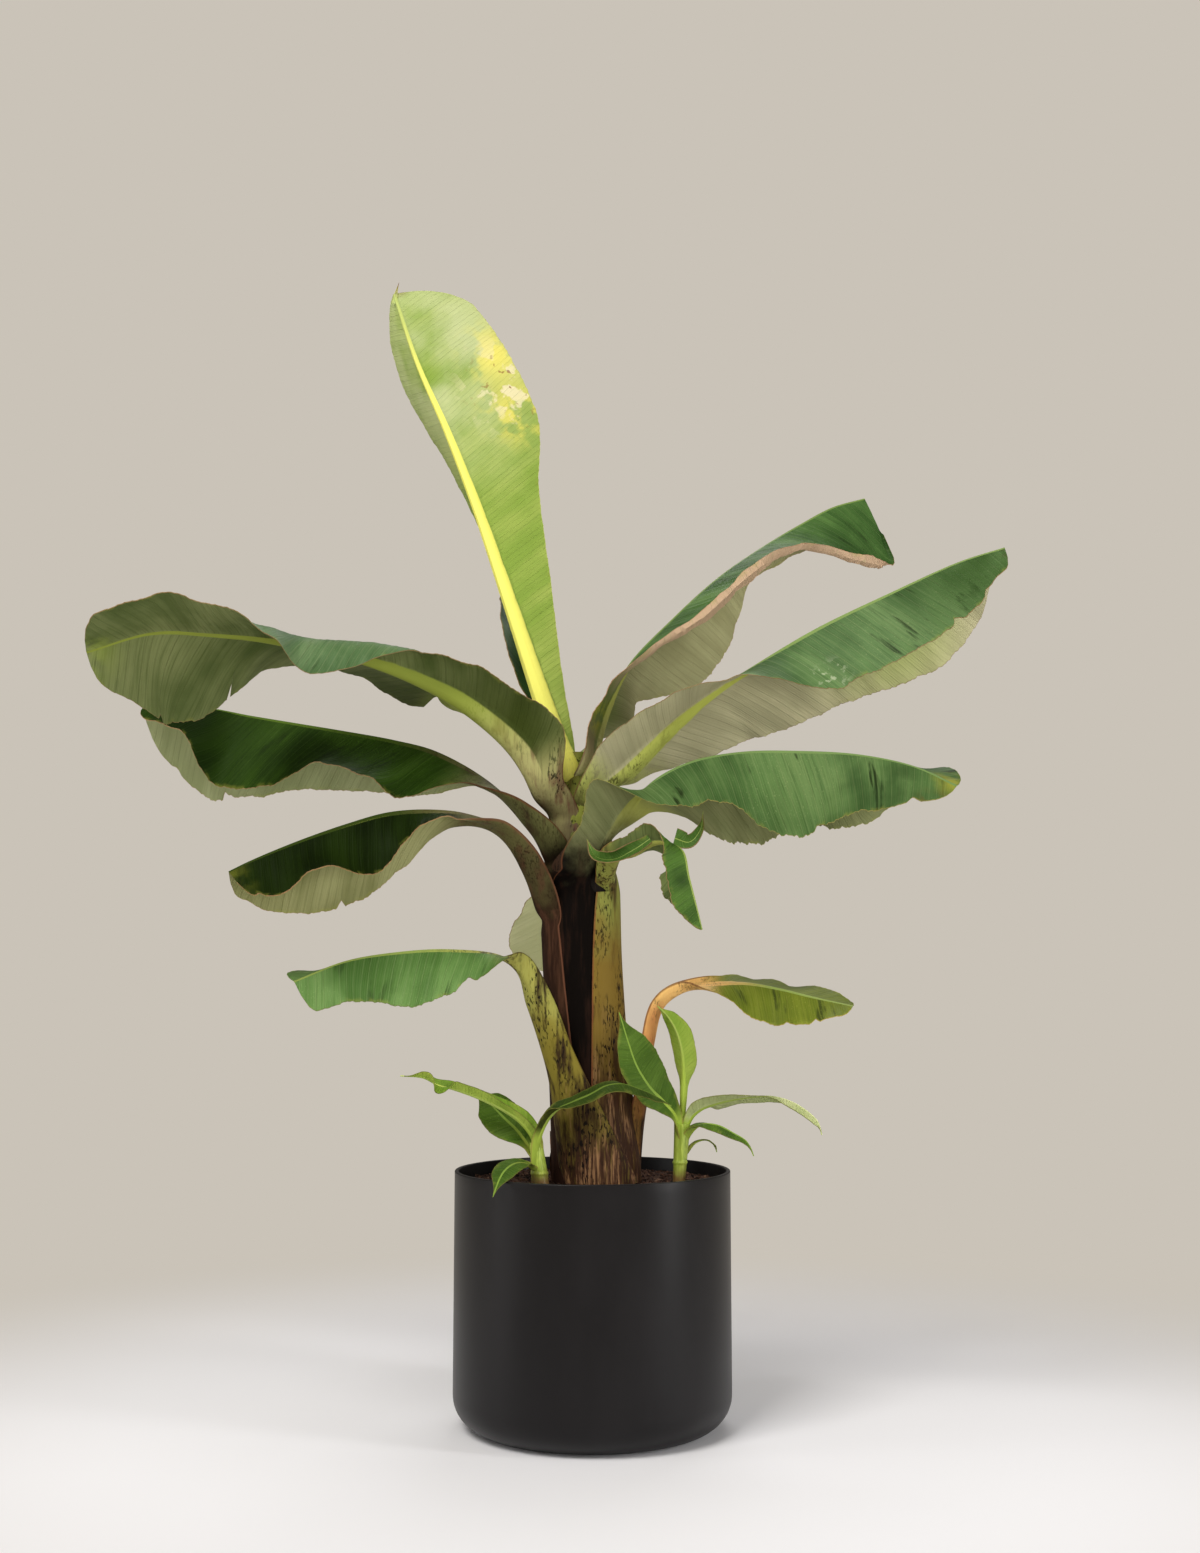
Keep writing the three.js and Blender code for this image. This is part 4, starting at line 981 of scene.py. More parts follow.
LEAVES: dict[str, LeafShape] = {
    "leaf_upright": LeafShape(
        rib=((-30, 0, 719), (-42, 4, 750), (-69, 14, 830), (-103, 28, 934),
             (-138, 42, 1038), (-175, 54, 1135), (-214, 64, 1227), (-242, 70, 1312)),
        facing=((0, 1, 0),),
        left=Half((20, 26, 38, 58, 80, 114, 106, 84), (20, 20, 18, 12, 10, 8, 5), (60, 30, 15, 10)),
        right=Half((16, 16, 20, 50, 70, 90, 80, 40), (50, 75, 88, 85, 80, 75, 65, 55),
                   (50, 20, 10, 10, 15)),
        sheath=Sheath(100, 600, 690, -6), tip=(0.45, 1.9), blade_from=(0.2, 0.6), keel=(19, 2), ruffle=0.7,
        uneven=0.008, seed=3, scraps=(DRY_POINT,),
    ),
    "leaf_upper_left": LeafShape(
        rib=((-59, -22, 694), (-84, -30, 738), (-133, -42, 782), (-184, -55, 811), (-253, -75, 835),
             (-309, -95, 844), (-361, -115, 851), (-417, -135, 853), (-469, -155, 849), (-530, -175, 825)),
        facing=((0.5, 0, 1), UP, UP, UP),
        left=Half((32, 60, 52, 52, 85, 90, 92, 92, 90, 84), (30, 70, 70, 60, 45, 30, 20, 8, 15, 14),
                  (60, -10, -35, -55, -110, -125, -60, 0)),
        right=Half((32, 26, 22, 78, 82, 85, 92, 100, 100, 50),
                   (30, 10, -4, -6, 4, 4, -18, -54, -64, -60),
                   (60, 30, 0, -10, -10, -14, -16, -16, -16, 0)),
        sheath=Sheath(205, 540, 650, -2.5, (90, 80)), tip=(0.4, 3), blade_from=(0.5, 2.6),
        keel=(17, 2), seed=4,
        tears=(Tear(Side.RIGHT, 2.75, 0.75, (26.0, 1.2)), Tear(Side.RIGHT, 6.3, 0.3, (1.2, 1.6)),
               Tear(Side.RIGHT, 8.1, 0.1, (4.0, 9.0)), Tear(Side.LEFT, 8.9, 0.08, (3.0, 6.0))),
    ),
    "leaf_middle_left": LeafShape(
        rib=((-53, -18, 626), (-82, -10, 672), (-120, 0, 709), (-180, 14, 744), (-228, 24, 758),
             (-286, 36, 770), (-344, 48, 781), (-402, 60, 792), (-462, 72, 804), (-537, 86, 806)),
        facing=((0.5, 0, 1), UP, UP),
        left=Half((30, 26, 26, 72, 85, 85, 90, 98, 62, 30),
                  (40, 20, -20, -54, -54, -60, -56, -60, -30, -40),
                  (60, 20, -10, -12, 34, 52, -8, -14, -8, 0)),
        right=Half((30, 24, 24, 70, 80, 85, 88, 108, 122, 90),
                   (40, 20, -20, -34, -38, -42, -50, -54, -58, -52),
                   (60, 20, 0, -12, -14, -14, -12, -6, -2, 0)),
        sheath=Sheath(205, 480, 600, 0, (86, 70)), tip=(0.6, 2.6), blade_from=(2.3, 2.3), seed=5,
        tears=(Tear(Side.RIGHT, 7.6, 0.1, (14.0, 4.0)), Tear(Side.RIGHT, 8.7, 0.06, (4.0, 8.0))),
    ),
    "leaf_lower_left": LeafShape(
        rib=((-60, -18, 566), (-80, -38, 620), (-105, -56, 652), (-139, -78, 664), (-178, -100, 666),
             (-218, -120, 661), (-258, -142, 647), (-305, -166, 627), (-349, -190, 605), (-370, -200, 593)),
        facing=((0.5, 0, 1), UP, UP),
        left=Half((30, 26, 22, 22, 32, 48, 63, 58, 54, 40),
                  (12, 16, 10, -20, -50, -60, -64, -62, -60, -48),
                  (46, 30, 10, 10, 60, 30, -4, 60, 20, 0)),
        right=Half((30, 24, 20, 26, 62, 86, 92, 88, 66, 46),
                   (40, 20, -10, -30, -48, -56, -60, -58, -48, -40),
                   (50, 20, 0, -10, -6, -6, -10, -12, -12, 0)),
        sheath=Sheath(200, 262.5, 535, 3, (58, 37)), tip=(0.4, 2.8), blade_from=(3.2, 3.2), seed=6,
        tears=(Tear(Side.RIGHT, 6.4, 0.08, (4.0, 8.0)), Tear(Side.LEFT, 8.5, 0.1, (3.0, 6.0))),
    ),
    "leaf_small_left": LeafShape(
        rib=((39, -50, 262), (0, -53, 346), (-31, -55, 403), (-60, -58, 462), (-80, -64, 496),
             (-100, -72, 510), (-153, -92, 516), (-204, -112, 513), (-259, -134, 503), (-309, -154, 482)),
        facing=((0, 1, 0), (0, 1, 0), (0.1, 1, 0.2), (0.4, 0.5, 0.7), UP, UP, UP),
        left=Half((12, 9, 12, 18, 18, 34, 54, 64, 50, 40), (0, 0, 0, 0, 20, -24, -48, -56, -54, -62),
                  (30, 30, 40, 60, 60, 10, -10, -14, -10, 0)),
        right=Half((92, 56, 30, 18, 13, 14, 45, 55, 52, 44), (-25, -10, 0, 0, 20, 0, -6, -24, -14, 12),
                   (105, 75, 64, 64, 60, 20, 0, -10, -10, 0)),
        tip=(0.22, 3.4), blade_from=(4.95, 5.2), keel=(6, 1.5), stalk=(3, 3), uneven=0.03, seed=8,
        tears=(Tear(Side.LEFT, 4.94, 0.6, (24.0, 1.5)), Tear(Side.LEFT, 5.75, 0.2, (6.0, 16.0))),
    ),
    "leaf_upper_right": LeafShape(
        rib=((-3, 10, 717), (6, 22, 756), (18, 36, 801), (42, 56, 852), (95, 84, 913),
             (151, 112, 969), (205, 138, 1012), (260, 162, 1050), (302, 180, 1076), (345, 196, 1092)),
        facing=((-0.5, -0.3, 1), (-0.3, -0.2, 1), UP),
        left=Half((26, 26, 50, 72, 98, 92, 44, 44, 44, 30),
                  (40, -10, -72, -52, -64, -56, -40, -44, -60, -55),
                  (40, 0, 0, 0, -12, -10, -10, -10, -10, 0)),
        right=Half((26, 36, 34, 50, 88, 90, 92, 112, 122, 98),
                   (40, 60, 45, 5, -8, -8, -12, -46, -64, -74), (40, 0, 0, 0, -4),
                   (0, 0, 0, 90, 150, 140, 60, 140, 150, 40), 0.24),
        sheath=Sheath(55, 560, 680, -4), tip=(0.16, 3.4), blade_from=(0.9, 0.3), seed=9,
    ),
    "leaf_second_right": LeafShape(
        rib=((5, -16, 685), (41, -24, 717), (98, -36, 773), (138, -46, 806), (171, -54, 826),
             (246, -72, 869), (327, -90, 906), (401, -108, 937), (448, -120, 950)),
        facing=((-0.5, 0, 1), (-0.3, 0, 1), UP),
        left=Half((28, 26, 65, 85, 92, 98, 104, 84, 20), (40, -30, -50, -42, -46, -52, -58, -40, -30),
                  (40, 0, 0, -8, -12, -12, -8, -6, 0)),
        right=Half((28, 50, 46, 45, 55, 85, 85, 75, 30), (40, 55, 35, 6, -14, -60, -58, -50, -60),
                   (40, 0, 0, 0, 0, -8, -10, -10, 0)),
        sheath=Sheath(-25, 520, 650, -1, (92, 84)), tip=(0.25, 3), blade_from=(1.1, 0.5),
        keel=(11, 2), seed=10,
        tears=(Tear(Side.RIGHT, 6.6, 0.12, (4.0, 10.0)), Tear(Side.RIGHT, 7.3, 0.1, (3.0, 8.0))),
    ),
    "leaf_third_right": LeafShape(
        rib=((-2, -32, 606), (17, -48, 640), (41, -62, 674), (68, -76, 701), (106, -92, 719),
             (159, -112, 727), (221, -136, 725), (281, -160, 718), (334, -182, 703), (374, -198, 681)),
        facing=((-0.5, 0, 1), (-0.3, 0, 1), UP),
        left=Half((32, 30, 28, 74, 102, 112, 92, 92, 70, 30),
                  (40, 10, -30, -54, -60, -60, -54, -47, 0, 25), (60, 0, -10, -8, -8, -4, -12, -10, 0)),
        right=Half((42, 40, 54, 52, 70, 78, 92, 78, 60, 30), (14, 28, 52, -38, -44, -48, -78, -56, -50),
                   (58, 30, 0, 0, 0, 6, -8, -8, -4, 0)),
        sheath=Sheath(-75, 262.5, 570, 0.2, (84, 64)), tip=(0.4, 2.4), blade_from=(2.3, 0.7), keel=(6, 1.6),
        stalk=(4.5, 2.2), uneven=0.035, seed=11,
        tears=(Tear(Side.RIGHT, 6.45, 0.1, (3.0, 16.0)), Tear(Side.RIGHT, 8.35, 0.22, (3.0, 14.0))),
    ),
    "leaf_crumpled_right": LeafShape(
        rib=((22, -36, 602), (24, -58, 619), (46, -84, 622), (73, -104, 631),
             (96, -120, 621), (103, -128, 591), (110, -130, 562), (116, -131, 536)),
        facing=((-0.5, 0, 1), UP, UP, (0.5, -0.3, 0.6), (1, -0.3, 0), (1, -0.3, 0), (1, -0.3, 0)),
        left=Half((24, 18, 16, 24, 46, 42, 38, 14), (40, 20, 0, -40, -60, -60, -46, -30),
                  (40, 40, 20, 0)),
        right=Half((19, 16, 20, 26, 30, 28, 24, 10), (4, 26, 56, 40, -20, -50, -50, -40),
                   (44, 36, 20, 0)),
        sheath=Sheath(-22, 262.5, 580, 3.8, (78, 42)), tip=(0.5, 2), blade_from=(2.0, 1.2), keel=(5, 1.2),
        uneven=0.07, seed=12, scraps=CRUMPLED_SCRAPS,
    ),
    "leaf_low_right": LeafShape(
        rib=((49, 4, 262), (53, 4, 318), (60, 4, 367), (66, 2, 417), (77, 0, 455), (101, -4, 473),
             (137, -10, 479), (172, -16, 480), (207, -24, 474), (241, -34, 465), (285, -48, 455)),
        facing=((-1, 0, 0), (-1, 0, 0), (-0.8, 0, 0.4), (-0.4, 0, 0.8), UP, UP, UP),
        left=Half((20, 20, 19, 19, 19, 17, 14, 36, 42, 42, 26), (0, 0, 0, 0, 0, 0, 30, 10, 6, 16, 10),
                  (80, 80, 80, 80, 80, 70, 20, 0)),
        right=Half((24, 24, 21, 20, 20, 18, 16, 42, 46, 42, 26),
                   (0, 0, 0, 0, 0, 0, -30, -44, -52, -44, -30),
                   (80, 80, 80, 80, 80, 70, 0, -8, -8, -8, 0)),
        tip=(0.35, 2.4), blade_from=(5.9, 5.9), keel=(5, 1.5), stalk=(3.5, 3), uneven=0.035, seed=13,
        tears=(Tear(Side.RIGHT, 9.3, 0.2, (3.0, 6.0)), Tear(Side.RIGHT, 8.6, 0.1, (3.0, 8.0))),
    ),
    "leaf_back_drooping": LeafShape(
        rib=((-20, 48, 634), (-22, 70, 668), (-25, 110, 684), (-30, 160, 672),
             (-34, 212, 643), (-40, 262, 600), (-49, 300, 545), (-54, 325, 494)),
        facing=((0, -0.5, 1), UP, UP, (0, 0.5, 1), (0, 1, 1), (0, 1, 0.8)),
        left=Half((26, 20, 16, 20, 34, 52, 64, 50), (40, 20, -10, -30, -40, -30, -15, -10),
                  (40, 20, 0, -10, -10, -10, -10, 0)),
        right=Half((26, 20, 16, 20, 34, 56, 66, 50), (40, 20, -10, -30, -40, -30, -15, -10),
                   (40, 20, 0, -10, -10, -10, -10, 0)),
        sheath=Sheath(100, 460, 600, 0), tip=(0.8, 2.2), blade_from=(2.3, 2.3), seed=15,
    ),
    "leaf_back_young": LeafShape(
        rib=((-24, 34, 696), (-39, 50, 757), (-57, 84, 815), (-74, 134, 868),
             (-86, 194, 909), (-95, 254, 939), (-102, 314, 962)),
        facing=((0, -1, 0.3), (0, -0.6, 1), UP, UP),
        left=Half((14, 24, 52, 62, 58, 46, 16), (40, 45, 46, 50, 54, 55, 45), (40, 20, 0)),
        right=Half((14, 20, 38, 40, 38, 34, 16), (40, 60, 72, 76, 76, 70, 60), (40, 20, 0)),
        sheath=Sheath(80, 560, 670, -3), tip=(0.7, 2), blade_from=(1.2, 1.2), ruffle=1,
        uneven=0.008, seed=16,
    ),
}

GREENER = StalkFinish(high=srgb(160, 182, 70), low=srgb(146, 168, 62), heights=(280.0, 330.0),
                      foot=srgb(140, 140, 60), stain=srgb(120, 140, 50), specks=0.1,
                      edge=srgb(150, 140, 70))
SHOOT_LEAF = LeafFinish(
    "shoot_leaf", upper=srgb(80, 110, 32), upper_dark=srgb(44, 72, 16), bloom_and_sheen=srgb(124, 150, 74),
    under=srgb(140, 160, 74), under_dark=srgb(104, 128, 48), rib_upper=srgb(126, 154, 62),
    rib_under=srgb(150, 168, 80), margin=srgb(110, 110, 50), vein=4.0, dashes=0.0, stalk=GREENER,
)
PALE_SHOOT_LEAF = replace(
    SHOOT_LEAF, upper=srgb(192, 196, 144), upper_dark=srgb(150, 164, 100), bloom_and_sheen=srgb(214, 214, 172),
    under=srgb(196, 200, 150), under_dark=srgb(160, 172, 112), rib_upper=srgb(200, 206, 148),
)
DIM_SHOOT_LEAF = replace(
    SHOOT_LEAF, upper=srgb(58, 78, 24), upper_dark=srgb(32, 48, 12), bloom_and_sheen=srgb(92, 110, 52),
    under=srgb(92, 100, 44), under_dark=srgb(58, 66, 22), rib_upper=srgb(100, 122, 48),
)
BRIGHT_SHOOT_LEAF = replace(
    SHOOT_LEAF, upper=srgb(126, 158, 48), upper_dark=srgb(84, 124, 30), bloom_and_sheen=srgb(164, 182, 84),
    under=srgb(160, 178, 76), under_dark=srgb(120, 148, 50), rib_upper=srgb(186, 202, 92),
)

LEAF_FINISHES: dict[str, LeafFinish] = {
    "leaf_upright": LeafFinish(
        "upright", upper=srgb(142, 172, 80), upper_dark=srgb(112, 150, 56), bloom_and_sheen=srgb(165, 186, 120),
        under=srgb(168, 182, 92), under_dark=srgb(130, 156, 64), rib_upper=srgb(190, 200, 100),
        rib_under=srgb(238, 234, 112), margin=srgb(176, 180, 96), roughness=(0.42, 0.5), vein=6.5,
        stalk=StalkFinish(high=srgb(238, 232, 108), low=srgb(170, 165, 90), heights=(690.0, 720.0),
                          stains=0.1, specks=0.1, edge=srgb(190, 190, 90)),
        blotches=(
            Blotch((-205, 60, 1240), 240, srgb(190, 198, 148), Skin.UNDER, 0.95, 9, (0.3, 0.6)),
            Blotch((-120, 80, 1238), 60, srgb(226, 216, 104), Skin.UNDER, 0.95, 30, (0.42, 0.52)),
            Blotch((-92, 78, 1165), 66, srgb(220, 210, 100), Skin.UNDER, 0.95, 30, (0.44, 0.54)),
            Blotch((-100, 80, 1200), 90, srgb(226, 216, 176), Skin.UNDER, 0.9, 46, (0.55, 0.6)),
            Blotch((-100, 80, 1200), 80, srgb(140, 96, 52), Skin.UNDER, 0.9, 90, (0.62, 0.66)),
            Blotch((-245, 70, 1330), 180, srgb(172, 188, 110), Skin.RIB, 1.0, 9, (0.1, 0.3)),
            *(Blotch((-237, 68, 1324), 20, srgb(120, 78, 48), skin, 1.0, 40, (0.0, 0.2)) for skin in Skin),
        ),
    ),
    "leaf_upper_left": LeafFinish(
        "upper_left", upper=srgb(94, 122, 80), upper_dark=srgb(56, 86, 44), bloom_and_sheen=srgb(146, 156, 114),
        under=srgb(132, 140, 90), under_dark=srgb(76, 90, 44), rib_under=srgb(140, 152, 62),
        stalk=StalkFinish(high=srgb(164, 160, 104), low=srgb(60, 42, 30), heights=(620.0, 745.0),
                          stain=srgb(96, 62, 50), stains=0.75, specks=0.9),
        blotches=(
            # Painted shade: the underside of the near half, standing up by the foot, darkened to olive.
            Blotch((-95, -60, 740), 170, srgb(52, 62, 16), Skin.UNDER, 1.0, 9, (0.1, 0.35)),
            # Painted shade: the underside of the far half, hanging behind and below the midrib, darkened.
            Blotch((-215, 20, 790), 90, srgb(60, 68, 30), Skin.UNDER, 0.8, 9, (0.2, 0.5)),
            Blotch((-415, -190, 790), 70, srgb(130, 112, 84), Skin.UNDER, 0.5, 30),
            Blotch((-540, -175, 830), 60, srgb(150, 166, 72), Skin.UNDER, 0.7, 30),
        ),
    ),
    "leaf_middle_left": LeafFinish(
        "middle_left", upper=srgb(54, 82, 22), upper_dark=srgb(24, 42, 8), bloom_and_sheen=srgb(82, 106, 50),
        under=srgb(164, 170, 126), under_dark=srgb(136, 144, 100), margin=srgb(168, 136, 98),
        rib_upper=srgb(76, 98, 34), gloss=0.03,
        stalk=StalkFinish(high=srgb(92, 92, 54), low=srgb(30, 20, 14), heights=(590.0, 690.0),
                          stain=srgb(56, 32, 26), stains=0.6),
        blotches=(Blotch((-470, 30, 790), 170, srgb(18, 32, 5), Skin.UPPER, 1.0, 9, (0.15, 0.45)),),
    ),
    "leaf_lower_left": LeafFinish(
        "lower_left", upper=srgb(26, 40, 8), upper_dark=srgb(10, 18, 3), bloom_and_sheen=srgb(36, 52, 12),
        under=srgb(158, 158, 110), under_dark=srgb(116, 118, 72), margin=srgb(168, 130, 92),
        rib_upper=srgb(48, 62, 20), gloss=0.03,
        stalk=StalkFinish(high=srgb(96, 92, 56), low=srgb(44, 28, 20), heights=(550.0, 650.0),
                          stain=srgb(86, 58, 42), stains=0.6, edge=srgb(112, 74, 54)),
        blotches=(Blotch((-370, -215, 585), 40, srgb(116, 120, 40), Skin.UPPER, 0.7, 30),),
    ),
    "leaf_small_left": LeafFinish(
        "small_left", upper=srgb(104, 140, 74), upper_dark=srgb(66, 100, 42), bloom_and_sheen=srgb(150, 172, 112),
        margin=srgb(110, 120, 60),
        stalk=StalkFinish(high=srgb(158, 156, 78), low=srgb(124, 112, 42), heights=(400.0, 490.0),
                          foot=srgb(62, 40, 27), feet=(290.0, 390.0), stain=srgb(44, 27, 18), stains=0.95,
                          specks=0.95, edge=srgb(60, 34, 22), gleams=0.5),
        blotches=(Blotch((-60, -90, 505), 26, srgb(150, 92, 66), Skin.UNDER, 0.6, 60),),
    ),
    "leaf_upper_right": LeafFinish(
        "upper_right", upper=srgb(82, 118, 58), upper_dark=srgb(46, 76, 32), bloom_and_sheen=srgb(122, 146, 86),
        under=srgb(172, 170, 126), under_dark=srgb(144, 142, 100), hem=srgb(196, 166, 136), hem_width=24.0,
        margin=srgb(170, 130, 100), rib_upper=srgb(118, 142, 76),
        stalk=StalkFinish(high=srgb(196, 192, 130), low=srgb(110, 104, 50), heights=(650.0, 730.0)),
        blotches=(
            Blotch((8, 10, 800), 96, srgb(84, 104, 38), Skin.UNDER, 1.0, 12, (0.1, 0.3)),
            Blotch((-4, 12, 790), 40, srgb(170, 168, 50), Skin.UNDER, 0.8, 60),
        ),
    ),
    "leaf_second_right": LeafFinish(
        "second_right", upper=srgb(102, 134, 80), upper_dark=srgb(58, 88, 46), bloom_and_sheen=srgb(156, 170, 122),
        under=srgb(196, 190, 152), under_dark=srgb(160, 156, 122), rib_under=srgb(176, 184, 84),
        rib_upper=srgb(126, 150, 84), dashes=0.8,
        stalk=StalkFinish(high=srgb(168, 174, 88), low=srgb(18, 13, 10), heights=(620.0, 730.0),
                          stain=srgb(58, 41, 32), stains=0.6, specks=0.7),
        blotches=(
            Blotch((430, -115, 940), 170, srgb(52, 80, 32), Skin.UPPER, 0.9, 10, (0.2, 0.5)),
            Blotch((452, -120, 952), 22, srgb(70, 54, 30), Skin.UPPER, 0.9, 60),
            Blotch((330, -60, 860), 120, srgb(176, 188, 112), Skin.UNDER, 0.8, 10, (0.2, 0.5)),
            Blotch((258, -110, 815), 30, srgb(206, 214, 180), Skin.UPPER, 0.6, 130, (0.56, 0.64)),
        ),
    ),
    "leaf_third_right": LeafFinish(
        "third_right", upper=srgb(92, 122, 68), upper_dark=srgb(54, 82, 40), bloom_and_sheen=srgb(142, 158, 104),
        under=srgb(138, 142, 98), under_dark=srgb(108, 114, 74), margin=srgb(150, 140, 80), dashes=0.9,
        rib_upper=srgb(112, 138, 80), gloss=0.04,
        stalk=StalkFinish(high=srgb(120, 120, 82), low=srgb(12, 8, 6), heights=(600.0, 680.0),
                          stain=srgb(46, 29, 21), stains=0.5, edge=srgb(96, 60, 40)),
        blotches=(
            Blotch((374, -198, 690), 34, srgb(160, 160, 62), Skin.UPPER, 0.8, 40),
            Blotch((345, -215, 665), 26, srgb(120, 84, 40), Skin.UPPER, 0.8, 60),
            Blotch((300, -180, 690), 90, srgb(44, 66, 32), Skin.UPPER, 0.7, 14, (0.4, 0.6)),
        ),
    ),
    "leaf_crumpled_right": LeafFinish(
        "crumpled_right", upper=srgb(74, 108, 40), upper_dark=srgb(40, 66, 22), bloom_and_sheen=srgb(112, 140, 72),
        under=srgb(112, 124, 72), under_dark=srgb(74, 88, 46),
        stalk=StalkFinish(high=srgb(134, 138, 66), low=srgb(118, 96, 38), heights=(500.0, 600.0),
                          foot=srgb(52, 32, 22), feet=(310.0, 470.0), stain=srgb(62, 38, 24), stains=0.85,
                          specks=0.95, edge=srgb(120, 70, 42), gleams=0.4),
        blotches=(Blotch((96, -136, 590), 22, srgb(30, 50, 18), Skin.UPPER, 0.8, 20, (0.2, 0.5)),),
    ),
    "leaf_low_right": LeafFinish(
        "low_right", upper=srgb(112, 124, 36), upper_dark=srgb(82, 96, 24), bloom_and_sheen=srgb(150, 152, 64),
        under=srgb(130, 134, 60), under_dark=srgb(100, 106, 40), margin=srgb(180, 160, 70), dashes=0.7,
        stalk=StalkFinish(high=srgb(232, 186, 112), low=srgb(206, 138, 82), heights=(400.0, 480.0),
                          foot=srgb(46, 32, 20), feet=(330.0, 400.0), stain=srgb(140, 104, 48),
                          stains=0.45),
    ),
    "leaf_back_drooping": LeafFinish(
        "back_drooping", upper=srgb(66, 100, 44), upper_dark=srgb(40, 66, 26),
        under=srgb(208, 208, 162), under_dark=srgb(180, 182, 134),
        stalk=StalkFinish(high=srgb(110, 112, 62), low=srgb(30, 20, 15), heights=(560.0, 660.0)),
    ),
    "leaf_back_young": LeafFinish(
        "back_young", upper=srgb(52, 84, 34), upper_dark=srgb(30, 54, 18), bloom_and_sheen=srgb(84, 110, 60),
        under=srgb(74, 100, 44), under_dark=srgb(46, 68, 26),
        stalk=StalkFinish(high=srgb(140, 152, 80), low=srgb(90, 92, 46), heights=(660.0, 740.0)),
    ),
}


@dataclass(frozen=True)
class ShootShape:
    """A side shoot: its stem's foot, top and radii in mm, its leaves, and those not of the usual tone."""

    name: str
    foot: Point
    top: Point
    radius: Range
    leaves: dict[str, LeafShape]
    tones: dict[str, LeafFinish]
    ring: float = 300.0


